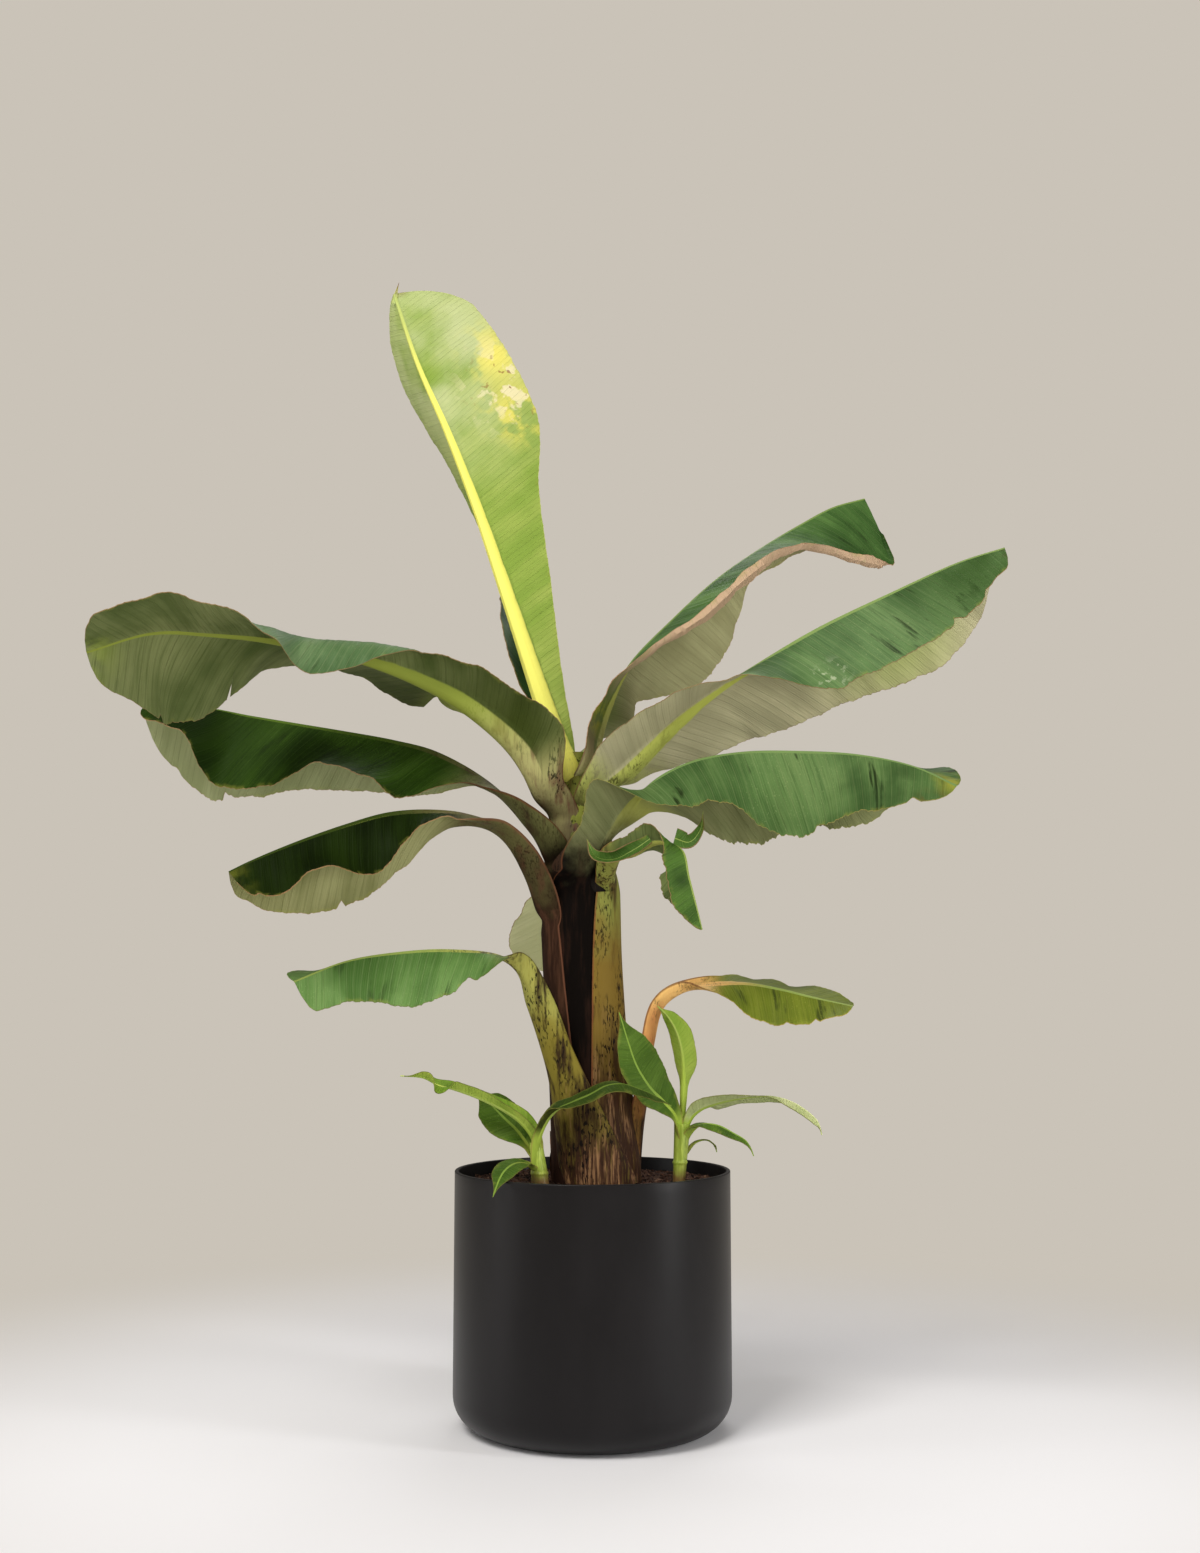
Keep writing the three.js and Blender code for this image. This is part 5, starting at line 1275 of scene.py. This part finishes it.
SHOOTS = (
    ShootShape(
        "left_shoot", foot=(-56, -50, 262.3), top=(-61, -50, 308), radius=(9.5, 7), ring=276.0,
        tones={"leaf_long": BRIGHT_SHOOT_LEAF, "leaf_arching": DIM_SHOOT_LEAF},
        leaves={
            "leaf_long": LeafShape(
                rib=((-60, -50, 290), (-63, -53, 310), (-76, -60, 329), (-94, -68, 343), (-122, -82, 358),
                     (-147, -95, 368), (-163, -103, 373), (-178, -111, 381), (-201, -122, 384)),
                facing=((0.7, 0, 0.7), UP, UP),
                left=Half((8, 8, 8, 8, 10, 10, 10, 8, 2), (60, 60, 60, 60, 60, 60, -60, 60, 0),
                          (40, 20, 0)),
                right=Half((8, 10, 16, 16, 15, 13, 10, 8, 2), (60, 70, 60, 50, 40, 40, 40, 40, 0),
                           (40, 20, 0)),
                tip=(0.8, 1.2), blade_from=(1.2, 1.2), seed=21,
            ),
            "leaf_broad": LeafShape(
                rib=((-61, -46, 284), (-68, -44, 300), (-81, -40, 319),
                     (-98, -36, 335), (-112, -32, 348), (-124, -29, 356)),
                facing=((0.5, -0.9, 0.3),),
                left=Half((8, 8, 20, 24, 20, 8), (50, 30, 5, 0), (30, 10, 0)),
                right=Half((8, 8, 18, 22, 18, 8), (50, 30, 5, 0), (30, 10, 0)),
                tip=(1, 2), blade_from=(1.2, 1.2), seed=22,
            ),
            "leaf_arching": LeafShape(
                rib=((-59, -54, 285), (-58, -56, 310), (-51, -60, 328), (-40, -66, 343), (-22, -74, 353),
                     (-2, -78, 362), (15, -78, 371), (32, -76, 373), (51, -70, 367), (68, -60, 359),
                     (86, -54, 348)),
                facing=((-1, 0, 0.2), (-0.5, 0, 1), UP, UP),
                left=Half((8, 8, 9, 10, 11, 12, 12, 12, 11, 8, 2),
                          (60, 60, 60, 50, 30, 30, 20, 0, -20, -30), (30, 20, 0)),
                right=Half((8, 8, 9, 11, 12, 12, 12, 12, 11, 8, 2),
                           (60, 60, 50, 30, -20, -40, -40, -40, -50, -50, -30), (30, 20, 0)),
                tip=(0.8, 1.2), blade_from=(1.4, 1.4), seed=23,
            ),
            "leaf_low": LeafShape(
                rib=((-60, -52, 278), (-70, -66, 287), (-82, -88, 290), (-94, -118, 282),
                     (-102, -144, 262)),
                facing=((0.5, 0, 1), (0, -0.5, 1), (0, -0.8, 0.6)),
                left=Half((5, 7, 14, 12, 2), (50, 20, 0), (20, 0)),
                right=Half((5, 7, 13, 11, 2), (50, 20, 0), (20, 0)),
                tip=(0.9, 1.4), blade_from=(0.7, 0.7), seed=24,
            ),
        },
    ),
    ShootShape(
        "right_shoot", foot=(95, -15, 262.3), top=(99, -15, 326), radius=(6.5, 9), ring=284.0,
        tones={"leaf_arching": PALE_SHOOT_LEAF, "leaf_upright": BRIGHT_SHOOT_LEAF},
        leaves={
            "leaf_broad": LeafShape(
                rib=((96, -16, 308), (91, -24, 334), (78, -34, 351), (63, -44, 367),
                     (48, -54, 391), (39, -60, 416), (29, -64, 449)),
                facing=((0.4, -0.6, 0.2), (0.4, -0.9, 0.1), (0.3, -0.95, 0)),
                left=Half((6, 8, 14, 20, 20, 14, 3), (50, 30, 10, 5), (20, 0)),
                right=Half((6, 8, 18, 26, 28, 20, 3), (50, 30, 10, 5), (20, 0)),
                tip=(1, 1.5), blade_from=(1, 1), seed=25,
            ),
            "leaf_upright": LeafShape(
                rib=((99, -15, 303), (99, -17, 328), (100, -20, 361), (100, -23, 394),
                     (94, -26, 423), (84, -28, 442), (71, -30, 456)),
                facing=((0, 1, 0), (0.2, 1, 0)),
                left=Half((6, 7, 10, 19, 18, 10, 1), (50, 50, 40, 24, 24, 30, 20),
                          (40, 60, 60, 30, 20, 0)),
                right=Half((6, 7, 9, 14, 13, 8, 1), (60, 60, 50, 30, 34, 40, 20),
                           (40, 60, 60, 30, 20, 0)),
                tip=(1, 1.4), blade_from=(2.2, 2.2), seed=26,
            ),
            "leaf_arching": LeafShape(
                rib=((100, -14, 308), (108, -16, 330), (119, -20, 341), (135, -26, 348), (153, -32, 353),
                     (175, -40, 357), (196, -48, 358), (215, -54, 353), (232, -60, 343), (243, -64, 332),
                     (247, -66, 318)),
                facing=((-0.8, 0, 0.5), (-0.3, 0, 1), UP, UP),
                left=Half((7, 8, 10, 11, 10, 10, 9, 9, 8, 6, 1),
                          (50, 40, 20, -40, -40, -50, -50, -30, -30, -30, 0), (30, 0)),
                right=Half((7, 9, 14, 13, 10, 8, 8, 9, 8, 6, 1),
                           (50, 60, 60, 50, 40, 20, -10, -40, -50, -50, 0), (30, 0)),
                tip=(0.9, 1.2), blade_from=(1, 1), seed=27,
            ),
            "leaf_low": LeafShape(
                rib=((100, -14, 297), (107, -18, 315), (120, -24, 326), (137, -32, 326),
                     (154, -40, 318), (168, -46, 309), (175, -50, 294)),
                facing=((-0.8, 0, 0.5), (-0.3, 0, 1), UP, UP),
                left=Half((7, 9, 11, 9, 7, 5, 1), (50, 40, 0, -30, -40, -30, 0), (20, 0)),
                right=Half((7, 9, 12, 10, 8, 5, 1), (50, 40, 0, -40, -50, -40, 0), (20, 0)),
                tip=(0.9, 1.2), blade_from=(1.2, 1.2), seed=28,
            ),
            "leaf_thin": LeafShape(
                rib=((101, -12, 291), (113, -10, 305), (126, -8, 308), (135, -6, 302), (138, -4, 294)),
                facing=((-0.5, 0, 0.8), UP),
                left=Half((4, 3, 3, 2.5, 1), (30, 20, 0), (20, 0)),
                right=Half((4, 3, 3, 2.5, 1), (30, 20, 0), (20, 0)),
                tip=(0.9, 1.2), blade_from=(0.7, 0.7), seed=29,
            ),
        },
    ),
)


@dataclass(frozen=True)
class Husk:
    """A dry sheath end standing off the stem's foot: bearing and half angle, heights, place outwards."""

    bearing: float
    half_angle: float
    low: float
    high: float
    layer: float
    flare: float
    ragged: float
    seed: int

    COLUMNS = 41
    ROWS = 26
    JAGS = (0.9, 0.37, 0.16, 0.07)
    WAVES = (0.5, 0.21)
    WAVE_HEIGHT = 0.9
    SIDE_DROP = 0.35
    THICKNESS = 0.5

    def surface(self, stem: StemShape) -> Surface:
        """Shells an arc round the stem.

        Its radius is the stem's plus its layer, low waves round the arc and its flare times the
        square of the share of height. Its top edge drops by a ragged share that varies round the
        arc, and by the cube of the way to either side.

        Args:
            stem: the stem that it wraps.

        Returns:
            The closed surface.
        """
        sides = self.bearing - self.half_angle, self.bearing + self.half_angle
        angles = np.radians(np.linspace(*sides, self.COLUMNS))
        jag = ripples(angles, self.JAGS, self.seed)
        side_drop = self.SIDE_DROP * np.abs(np.linspace(-1, 1, self.COLUMNS)) ** 3
        left_over = 1 - self.ragged * (0.5 + 0.5 * jag) - side_drop
        share = np.linspace(0, 1, self.ROWS)[:, None]
        z = self.low + (self.high - self.low) * left_over * share
        waves = ripples(angles, self.WAVES, self.seed + 1) * self.WAVE_HEIGHT
        radius = stem.skin(z, self.layer) + self.flare * share**2 + waves
        out = level(angles)
        points = stem.centre(z) + out * radius[..., None]
        normals = np.broadcast_to(out, points.shape)
        thin = np.full(points.shape[:2], self.THICKNESS)
        vertices, quads = shell(points[:, ::-1], normals[:, ::-1], thin, thin)
        return Surface(vertices, [quads[:, ::-1]], marks={"husk": np.ones(len(vertices))})


HUSKS = (
    Husk(135, 45, 262.3, 330, 5.0, 2.0, 0.5, 5),
    Husk(80, 50, 262.3, 345, 6.0, 2.5, 0.5, 6),
)


class Trunk:
    """The false stem under its sheaths, with the dry husks at its foot.

    Each flute is a number of waves round, their depth in mm and their phase in radians.
    """

    ROWS = 240
    SIDES = 96
    TWIST = 0.0012
    FLUTES = ((5, 0.8, 0.7), (13, 0.5, 0.0), (29, 0.25, 0.0))
    TOP_FADE = 60.0
    FIBRES = Grain(420.0, 3.0, drawn=(1.0, 1.0, 0.06))
    MOTTLE = Grain(34.0, 4.0, drawn=(1.0, 1.0, 0.4))
    SPECKS = Grain(240.0)

    def __init__(self, stem: StemShape, husks: tuple[Husk, ...]) -> None:
        """Keeps the stem's sizes and the husks round it."""
        self.stem = stem
        self.husks = husks

    def surface(self) -> Surface:
        """Wraps rings about the centre line, fluted along it and closed at both ends.

        The flutes are a sum of sines of the angle, which turns slowly with the height, and fade
        out at the top.

        Returns:
            The core and all husks, marked 0 and 1.
        """
        z = np.linspace(self.stem.foot, self.stem.top, self.ROWS)[:, None]
        angles = around(self.SIDES)
        turned = angles + (z - self.stem.foot) * self.TWIST
        flutes = sum(depth * np.sin(count * turned + phase) for count, depth, phase in self.FLUTES)
        radius = self.stem.core(z) + flutes * smooth((self.stem.top - z) / self.TOP_FADE)
        core = wrapped(self.stem.centre(z) + level(angles) * radius[..., None])
        core.marks["husk"] = np.zeros(len(core.vertices))
        for husk in self.husks:
            core = core.joined(husk.surface(self.stem))
        return core

    def dress(self) -> bpy.types.Material:
        """Dark brown sheath with long fibres and green patches above, coppery paper on the husks."""
        shade = Shade("stem")
        place = shade.place()
        _, _, z = shade.parts(place)
        fibres = shade.noise(place, self.FIBRES)
        mottle = shade.noise(place, self.MOTTLE)
        specks = shade.noise(place, self.SPECKS)
        core = shade.mix(srgb(16, 10, 8), srgb(48, 30, 22), fibres.ease(0.4, 0.7) * mottle.ease(0.3, 0.7))
        core = shade.mix(core, srgb(128, 134, 56), (z + (mottle - 0.5) * 0.1).ease(0.6, 0.68))
        core = shade.mix(core, srgb(96, 60, 50), mottle.ease(0.5, 0.66) * z.ease(0.6, 0.66) * 0.7)
        core = shade.mix(core, srgb(14, 9, 8), specks.ease(0.6, 0.66) * 0.8)
        husk = shade.mix(srgb(50, 28, 19), srgb(150, 104, 74), fibres.ease(0.4, 0.72))
        husk = shade.mix(husk, srgb(26, 15, 11), mottle.ease(0.44, 0.62) * 0.8)
        colour = shade.mix(core, husk, shade.mark("husk"))
        relief = fibres * 0.7 + mottle * 0.6
        return shade.finish(colour, 0.7 - mottle * 0.2, relief, 1.0, {"Specular IOR Level": 0.06})

    def build(self) -> None:
        """Makes the piece."""
        make_piece("stem_body", self.surface(), self.dress(), ("stem",))


class Shoot:
    """A side shoot's stem and leaves.

    The collar is its height and half width in mm. Each fold is a number of waves round, their turn
    up the stem in radians and their depth in mm.
    """

    ROWS = 70
    SIDES = 40
    COLLAR = (0.9, 1.6)
    FOLDS = ((5, 3, 0.25), (11, 0, 0.15))
    FIBRES = Grain(700.0, 3.0, drawn=(1.0, 1.0, 0.08))
    MOTTLE = Grain(90.0, 3.0)

    def __init__(self, shape: ShootShape) -> None:
        """Keeps the shoot's sizes."""
        self.shape = shape

    def stem_surface(self) -> Surface:
        """Wraps rings from foot to top, with a low collar round the ring's height.

        The collar adds its height times exp(-((z - ring) / its half width)²) to the radius.

        Returns:
            The closed stem.
        """
        share = np.linspace(0, 1, self.ROWS)[:, None]
        foot, top = (np.array(point, dtype=float) for point in (self.shape.foot, self.shape.top))
        centre = foot + (top - foot) * share[..., None]
        angles = around(self.SIDES)
        low, high = self.shape.radius
        height, spread = self.COLLAR
        collar = height * np.exp(-((centre[..., 2] - self.shape.ring) / spread) ** 2)
        folds = sum(depth * np.sin(count * angles + turn * share) for count, turn, depth in self.FOLDS)
        radius = low + (high - low) * share + collar + folds
        return wrapped(centre + level(angles) * radius[..., None])

    def stem_finish(self) -> bpy.types.Material:
        """Yellow-green sheath with fine long fibres, browner at the soil."""
        shade = Shade(f"{self.shape.name}_stem")
        place = shade.place()
        _, _, z = shade.parts(place)
        fibres = shade.noise(place, self.FIBRES)
        mottle = shade.noise(place, self.MOTTLE)
        colour = shade.mix(srgb(142, 164, 52), srgb(188, 206, 88), fibres.ease(0.35, 0.7))
        colour = shade.mix(srgb(120, 92, 52), colour, (z + (mottle - 0.5) * 0.02).ease(0.264, 0.286))
        return shade.finish(colour, 0.45, fibres * 0.6 + mottle * 0.4, 0.4)

    def build(self) -> None:
        """Makes the stem and each leaf."""
        stem_name = f"{self.shape.name}_stem"
        make_piece(f"{stem_name}_body", self.stem_surface(), self.stem_finish(),
                   (stem_name,))
        usual = replace(SHOOT_LEAF, name=f"{self.shape.name}_leaf").material()
        for name, listed in self.shape.leaves.items():
            shape = replace(listed, keel=(2.4, 0.7), stalk=(2.0, 2.0), ruffle=0.8, flute=0.15,
                            thickness=0.35)
            node = f"{self.shape.name}_{name}"
            tone = self.shape.tones.get(name)
            material = replace(tone, name=node).material() if tone else usual
            surface = Leaf.small(shape, STEM).surface()
            make_piece(f"{node}_blade", surface, material, (node, stem_name))


@dataclass(frozen=True)
class Pot:
    """The straight round pot, in mm."""

    radius: float = 152.5
    height: float = 275.0
    wall: float = 4.5
    floor: float = 6.0
    foot_rounding: float = 37.0
    lip: float = 1.2
    side: Range = (60.0, 263.0)
    sides: int = 192

    UNDER_RADIUS = 40.0
    FLOOR_RADII = (60.0, 20.0)
    SMEARS = Grain(14.0, 4.0, drawn=(1.0, 1.0, 0.4))
    TEXTURE = Grain(900.0)

    def surface(self) -> Surface:
        """Turns the wall: flat underside, rounded foot, straight side, rounded rim and hollow inside.

        The flat parts have rings of their own beside the roundings, so that these shade evenly.

        Returns:
            The closed surface.
        """
        inner = self.radius - self.wall
        inner_rounding = self.foot_rounding - self.wall
        outside = quarter(self.radius - self.foot_rounding, self.foot_rounding, self.foot_rounding, 16)
        inside = quarter(inner - inner_rounding, self.floor + inner_rounding, inner_rounding, 12)
        bend = np.linspace(0, np.pi / 2, 5)
        drawn_in = self.lip * (1 - np.cos(bend))
        rise = np.stack([self.radius - drawn_in, self.height - self.lip * (1 - np.sin(bend))], -1)
        fall = np.stack([inner + drawn_in, rise[:, 1]], -1)[::-1]
        under = [[self.UNDER_RADIUS, 0.0], [self.radius - self.foot_rounding - 4, 0.0]]
        side = [[self.radius, z] for z in np.linspace(*self.side, 8)]
        floor = [[radius, self.floor] for radius in self.FLOOR_RADII]
        profile = np.vstack([under, outside, side, rise, fall, inside[::-1], floor])
        return wrapped(lathe(profile, self.sides))

    def dress(self) -> bpy.types.Material:
        """Black satin plastic with a fine grain and faint dusty smears."""
        shade = Shade("pot")
        place = shade.place()
        smears = shade.noise(place, self.SMEARS)
        texture = shade.noise(place, self.TEXTURE)
        colour = shade.mix(srgb(17, 15, 16), srgb(23, 21, 22), smears.ease(0.4, 0.7))
        return shade.finish(colour, 0.34 + smears * 0.1, texture, 0.05, {"Specular IOR Level": 0.24})

    def build(self) -> None:
        """Makes the piece."""
        make_piece("pot_wall", self.surface(), self.dress(), ("pot",), crease=60)


@dataclass(frozen=True)
class Soil:
    """Soil up to its top, in mm, with crumbs lying on it."""

    top: float = 262.0
    radius: float = 147.4
    floor: float = 6.6
    rounding: float = 31.9
    relief: float = 1.8
    crumbs: int = 2600
    crumb: Range = (0.7, 2.6)

    BUMPS = (90.0, 41.0, 17.0, 8.0)
    SINK = 0.6
    BODY_TONE = 0.35
    CORNERS = 12
    LONGEST_EDGE = 1.2
    EDGE_GAP = 3.0
    LIFT = 0.25
    BULGE = (0.75, 1.2)
    STRETCH = (0.6, 1.3)
    GRIT = Grain(260.0, 4.0, 0.7)
    CLODS = Grain(70.0, 3.0)

    def height(self, x: Array, y: Array) -> Array:
        """Height of the bumpy top at a place."""
        return self.top - self.SINK + self.relief * lumps(x, y, self.BUMPS, 5) - self.relief * 0.4

    def body(self) -> Surface:
        """Turns the filling, then lifts and lowers its top."""
        under = quarter(self.radius - self.rounding, self.floor + self.rounding, self.rounding, 6)
        flat = np.linspace(self.radius, 1.0, 90)
        top = np.stack([flat, np.full_like(flat, self.top)], -1)
        rings = lathe(np.vstack([[[30.0, self.floor]], under, top]), 192)
        bumpy = rings[-len(flat):]
        bumpy[..., 2] = self.height(bumpy[..., 0], bumpy[..., 1])
        surface = wrapped(rings)
        surface.marks["share"] = np.full(len(surface.vertices), self.BODY_TONE)
        return surface

    def crumb_solid(self) -> tuple[Array, NDArray[np.int64]]:
        """Makes a 20-sided solid: a face on any three corners that are neighbours, turned outwards.

        Returns:
            Its 12 corners at distance 1 from its middle, and its triangles.
        """
        golden = (1 + math.sqrt(5)) / 2
        flat = [(0.0, a, b * golden) for a in (-1.0, 1.0) for b in (-1.0, 1.0)]
        corners = unit(np.array([np.roll(corner, shift) for corner in flat for shift in range(3)]))
        apart = np.linalg.norm(corners[:, None] - corners, axis=-1)
        near = (apart > 0) & (apart < self.LONGEST_EDGE)
        i, j, k = np.meshgrid(*[np.arange(self.CORNERS)] * 3, indexing="ij")
        faces = np.argwhere(near[i, j] & near[j, k] & near[i, k] & (i < j) & (j < k))
        a, b, c = (corners[faces[:, n]] for n in range(3))
        inwards = (np.cross(b - a, c - a) * a).sum(-1) < 0
        faces[inwards] = faces[inwards][:, ::-1]
        return corners, faces

    def loose(self) -> Surface:
        """Scatters crumbs, each pushed out of shape, stretched and sunk a little.

        Their sizes go from the smallest to the largest by the cube of an even chance.

        Returns:
            All of them, each with a share for its tone.
        """
        corners, faces = self.crumb_solid()
        chance = np.random.default_rng(11)
        reach = self.radius - self.EDGE_GAP
        distance = reach * np.sqrt(chance.uniform(0, 1, self.crumbs))
        heading = chance.uniform(0, 2 * np.pi, self.crumbs)
        x, y = distance * np.cos(heading), distance * np.sin(heading)
        smallest, largest = self.crumb
        size = smallest + (largest - smallest) * chance.uniform(0, 1, self.crumbs) ** 3
        centre = np.stack([x, y, self.height(x, y) + size * self.LIFT], -1)
        shapes = corners * chance.uniform(*self.BULGE, (self.crumbs, self.CORNERS, 1))
        shapes = shapes * chance.uniform(*self.STRETCH, (self.crumbs, 1, 3)) * size[:, None, None]
        vertices = (centre[:, None] + shapes).reshape(-1, 3)
        every = (faces + self.CORNERS * np.arange(self.crumbs)[:, None, None]).reshape(-1, 3)
        share = np.repeat(chance.uniform(0, 1, self.crumbs), self.CORNERS)
        return Surface(vertices, [every], marks={"share": share})

    def dress(self) -> bpy.types.Material:
        """Dark brown crumbs, each of its own tone, some of them light."""
        shade = Shade("soil")
        place = shade.place()
        share = shade.mark("share")
        grit = shade.noise(place, self.GRIT)
        clods = shade.noise(place, self.CLODS)
        colour = shade.mix(srgb(50, 33, 27), srgb(108, 76, 60), (grit * 0.6 + clods * 0.4).ease(0.4, 0.65))
        colour = shade.mix(colour, srgb(154, 120, 98), share.ease(0.86, 0.97) * 0.8)
        colour = shade.mix(colour, srgb(30, 20, 17), 1.0 - share.ease(0.0, 0.3))
        return shade.finish(colour, 0.92, grit + clods, 2.0, {"Specular IOR Level": 0.2})

    def build(self) -> None:
        """Makes the filling and the crumbs, of one finish."""
        material = self.dress()
        make_piece("soil_body", self.body(), material, ("soil",))
        make_piece("soil_crumbs", self.loose(), material, ("soil",), crease=20)


class Crown:
    """The main leaves, each from its sheath on the stem to its tip."""

    YOUNG = "leaf_upright"

    def build(self) -> None:
        """Makes each leaf."""
        for name, shape in LEAVES.items():
            slot = "young_leaf" if name == self.YOUNG else "leaf"
            material = LEAF_FINISHES[name].material()
            make_piece(f"{name}_whole", Leaf(shape, STEM).surface(), material, (name, "stem"))


@dataclass(frozen=True)
class Lamp:
    """An area lamp in metres and watts, turned to look at a point, with or without a mirror image."""

    name: str
    place: Point
    target: Point
    size: Range
    power: float
    colour: Colour = (1.0, 1.0, 1.0)
    mirrored: bool = True

    def build(self) -> None:
        """Makes the lamp."""
        data = bpy.data.lights.new(self.name, "AREA")
        data.shape = "RECTANGLE"
        data.size, data.size_y = self.size
        data.energy = self.power
        data.color = self.colour
        lamp = placed(self.name, data)
        lamp.location = self.place
        ahead = Vector(self.target) - Vector(self.place)
        lamp.rotation_euler = ahead.to_track_quat("-Z", "Y").to_euler()
        lamp.visible_glossy = self.mirrored


@dataclass(frozen=True)
class Studio:
    """Camera, backdrop, floor and lamps. Camera sizes are mm, all others metres."""

    SPECKLE = Grain(300.0)

    camera: Point = (8.25, -2000.0, 484.0)
    pitch: float = 6.55
    lens: float = 41.007
    sensor: float = 36.0
    backdrop: Colour = srgb(202, 195, 184)
    ambient: float = 0.32
    floor_colour: Colour = srgb(245, 244, 247)
    reach: float = 14.0
    fade: Range = (0.45, 1.3)
    lamps: tuple[Lamp, ...] = (
        Lamp("key", (-1.1, -1.7, 2.5), (0.0, 0.0, 0.6), (1.3, 1.3), 62.0, (1.0, 0.98, 0.94)),
        Lamp("front", (0.7, -2.6, 0.55), (0.0, 0.0, 0.7), (2.2, 0.9), 20.0, (1.0, 1.0, 1.0), False),
        Lamp("strip", (1.75, -0.85, 0.7), (0.0, 0.0, 0.35), (0.3, 1.3), 14.0),
        Lamp("side", (-1.9, -0.5, 0.6), (0.0, 0.0, 0.3), (0.3, 1.2), 5.0),
        Lamp("back", (0.4, 1.5, 2.4), (0.0, 0.0, 0.7), (1.4, 1.4), 16.0),
    )

    def build(self) -> None:
        """Makes all of it."""
        self._camera()
        self._surroundings()
        self._floor()
        for lamp in self.lamps:
            lamp.build()
        bpy.context.scene.view_settings.view_transform = "Standard"

    def _camera(self) -> None:
        """Sets the camera level along +Y, then pitched up."""
        data = bpy.data.cameras.new("camera")
        data.lens = self.lens
        data.sensor_fit = "AUTO"
        data.sensor_width = self.sensor
        camera = placed("camera", data)
        camera.location = [value * MM for value in self.camera]
        camera.rotation_euler = (math.radians(90 + self.pitch), 0.0, 0.0)
        bpy.context.scene.camera = camera

    def _surroundings(self) -> None:
        """Lights the room dimly, inside a dome of the backdrop's colour that lights nothing."""
        world = bpy.data.worlds.new("room")
        world.use_nodes = True
        background = world.node_tree.nodes["Background"]
        background.inputs["Color"].default_value = (*self.backdrop, 1.0)
        background.inputs["Strength"].default_value = self.ambient
        bpy.context.scene.world = world
        turn = np.linspace(-np.pi / 2, np.pi / 2, 25)[1:-1]
        rings = lathe(np.stack([self.reach * np.cos(turn), self.reach * np.sin(turn)], -1), 48)
        shade = Shade("dome")
        shade.feed({"Emission Color": (*self.backdrop, 1.0), "Emission Strength": 1.0,
                    "Base Color": (*BLACK, 1.0), "Specular IOR Level": 0.0})
        dome = self._stage("dome", wrapped(rings), shade.material)
        dome.visible_diffuse = dome.visible_glossy = dome.visible_transmission = dome.visible_shadow = False

    def _floor(self) -> None:
        """Lays a pale floor that passes into the backdrop's colour with the distance from the pot."""
        shade = Shade("floor")
        place = shade.place()
        distance = shade.add("ShaderNodeVectorMath", {"operation": "LENGTH"}, {0: place}, "Value")
        far = distance.ease(*self.fade)
        speckle = shade.noise(place, self.SPECKLE)
        base = shade.mix(self.floor_colour, BLACK, far)
        shade.feed({"Emission Color": shade.mix(BLACK, self.backdrop, far), "Emission Strength": 1.0})
        material = shade.finish(base, 0.9, speckle, 0.05, {"Specular IOR Level": 0.0})
        side = self.reach * 0.9
        corners = np.array([(-side, -side, 0.0), (side, -side, 0.0), (side, side, 0.0), (-side, side, 0.0)])
        self._stage("floor", Surface(corners, [np.arange(4)[None]]), material)

    def _stage(self, name: str, surface: Surface, material: bpy.types.Material) -> bpy.types.Object:
        """Puts a surface with sizes in metres into the scene, with its material."""
        mesh = surface.mesh(name, 1.0)
        mesh.materials.append(material)
        staged = placed(name, mesh)
        return staged


def main() -> None:
    """Builds the plant from the pot upwards, then the studio round it."""
    logging.basicConfig(level=logging.INFO, format="%(name)s: %(message)s")
    Studio().build()
    Pot().build()
    Soil().build()
    Trunk(STEM, HUSKS).build()
    Crown().build()
    for shape in SHOOTS:
        Shoot(shape).build()


if __name__ == "__main__":
    main()
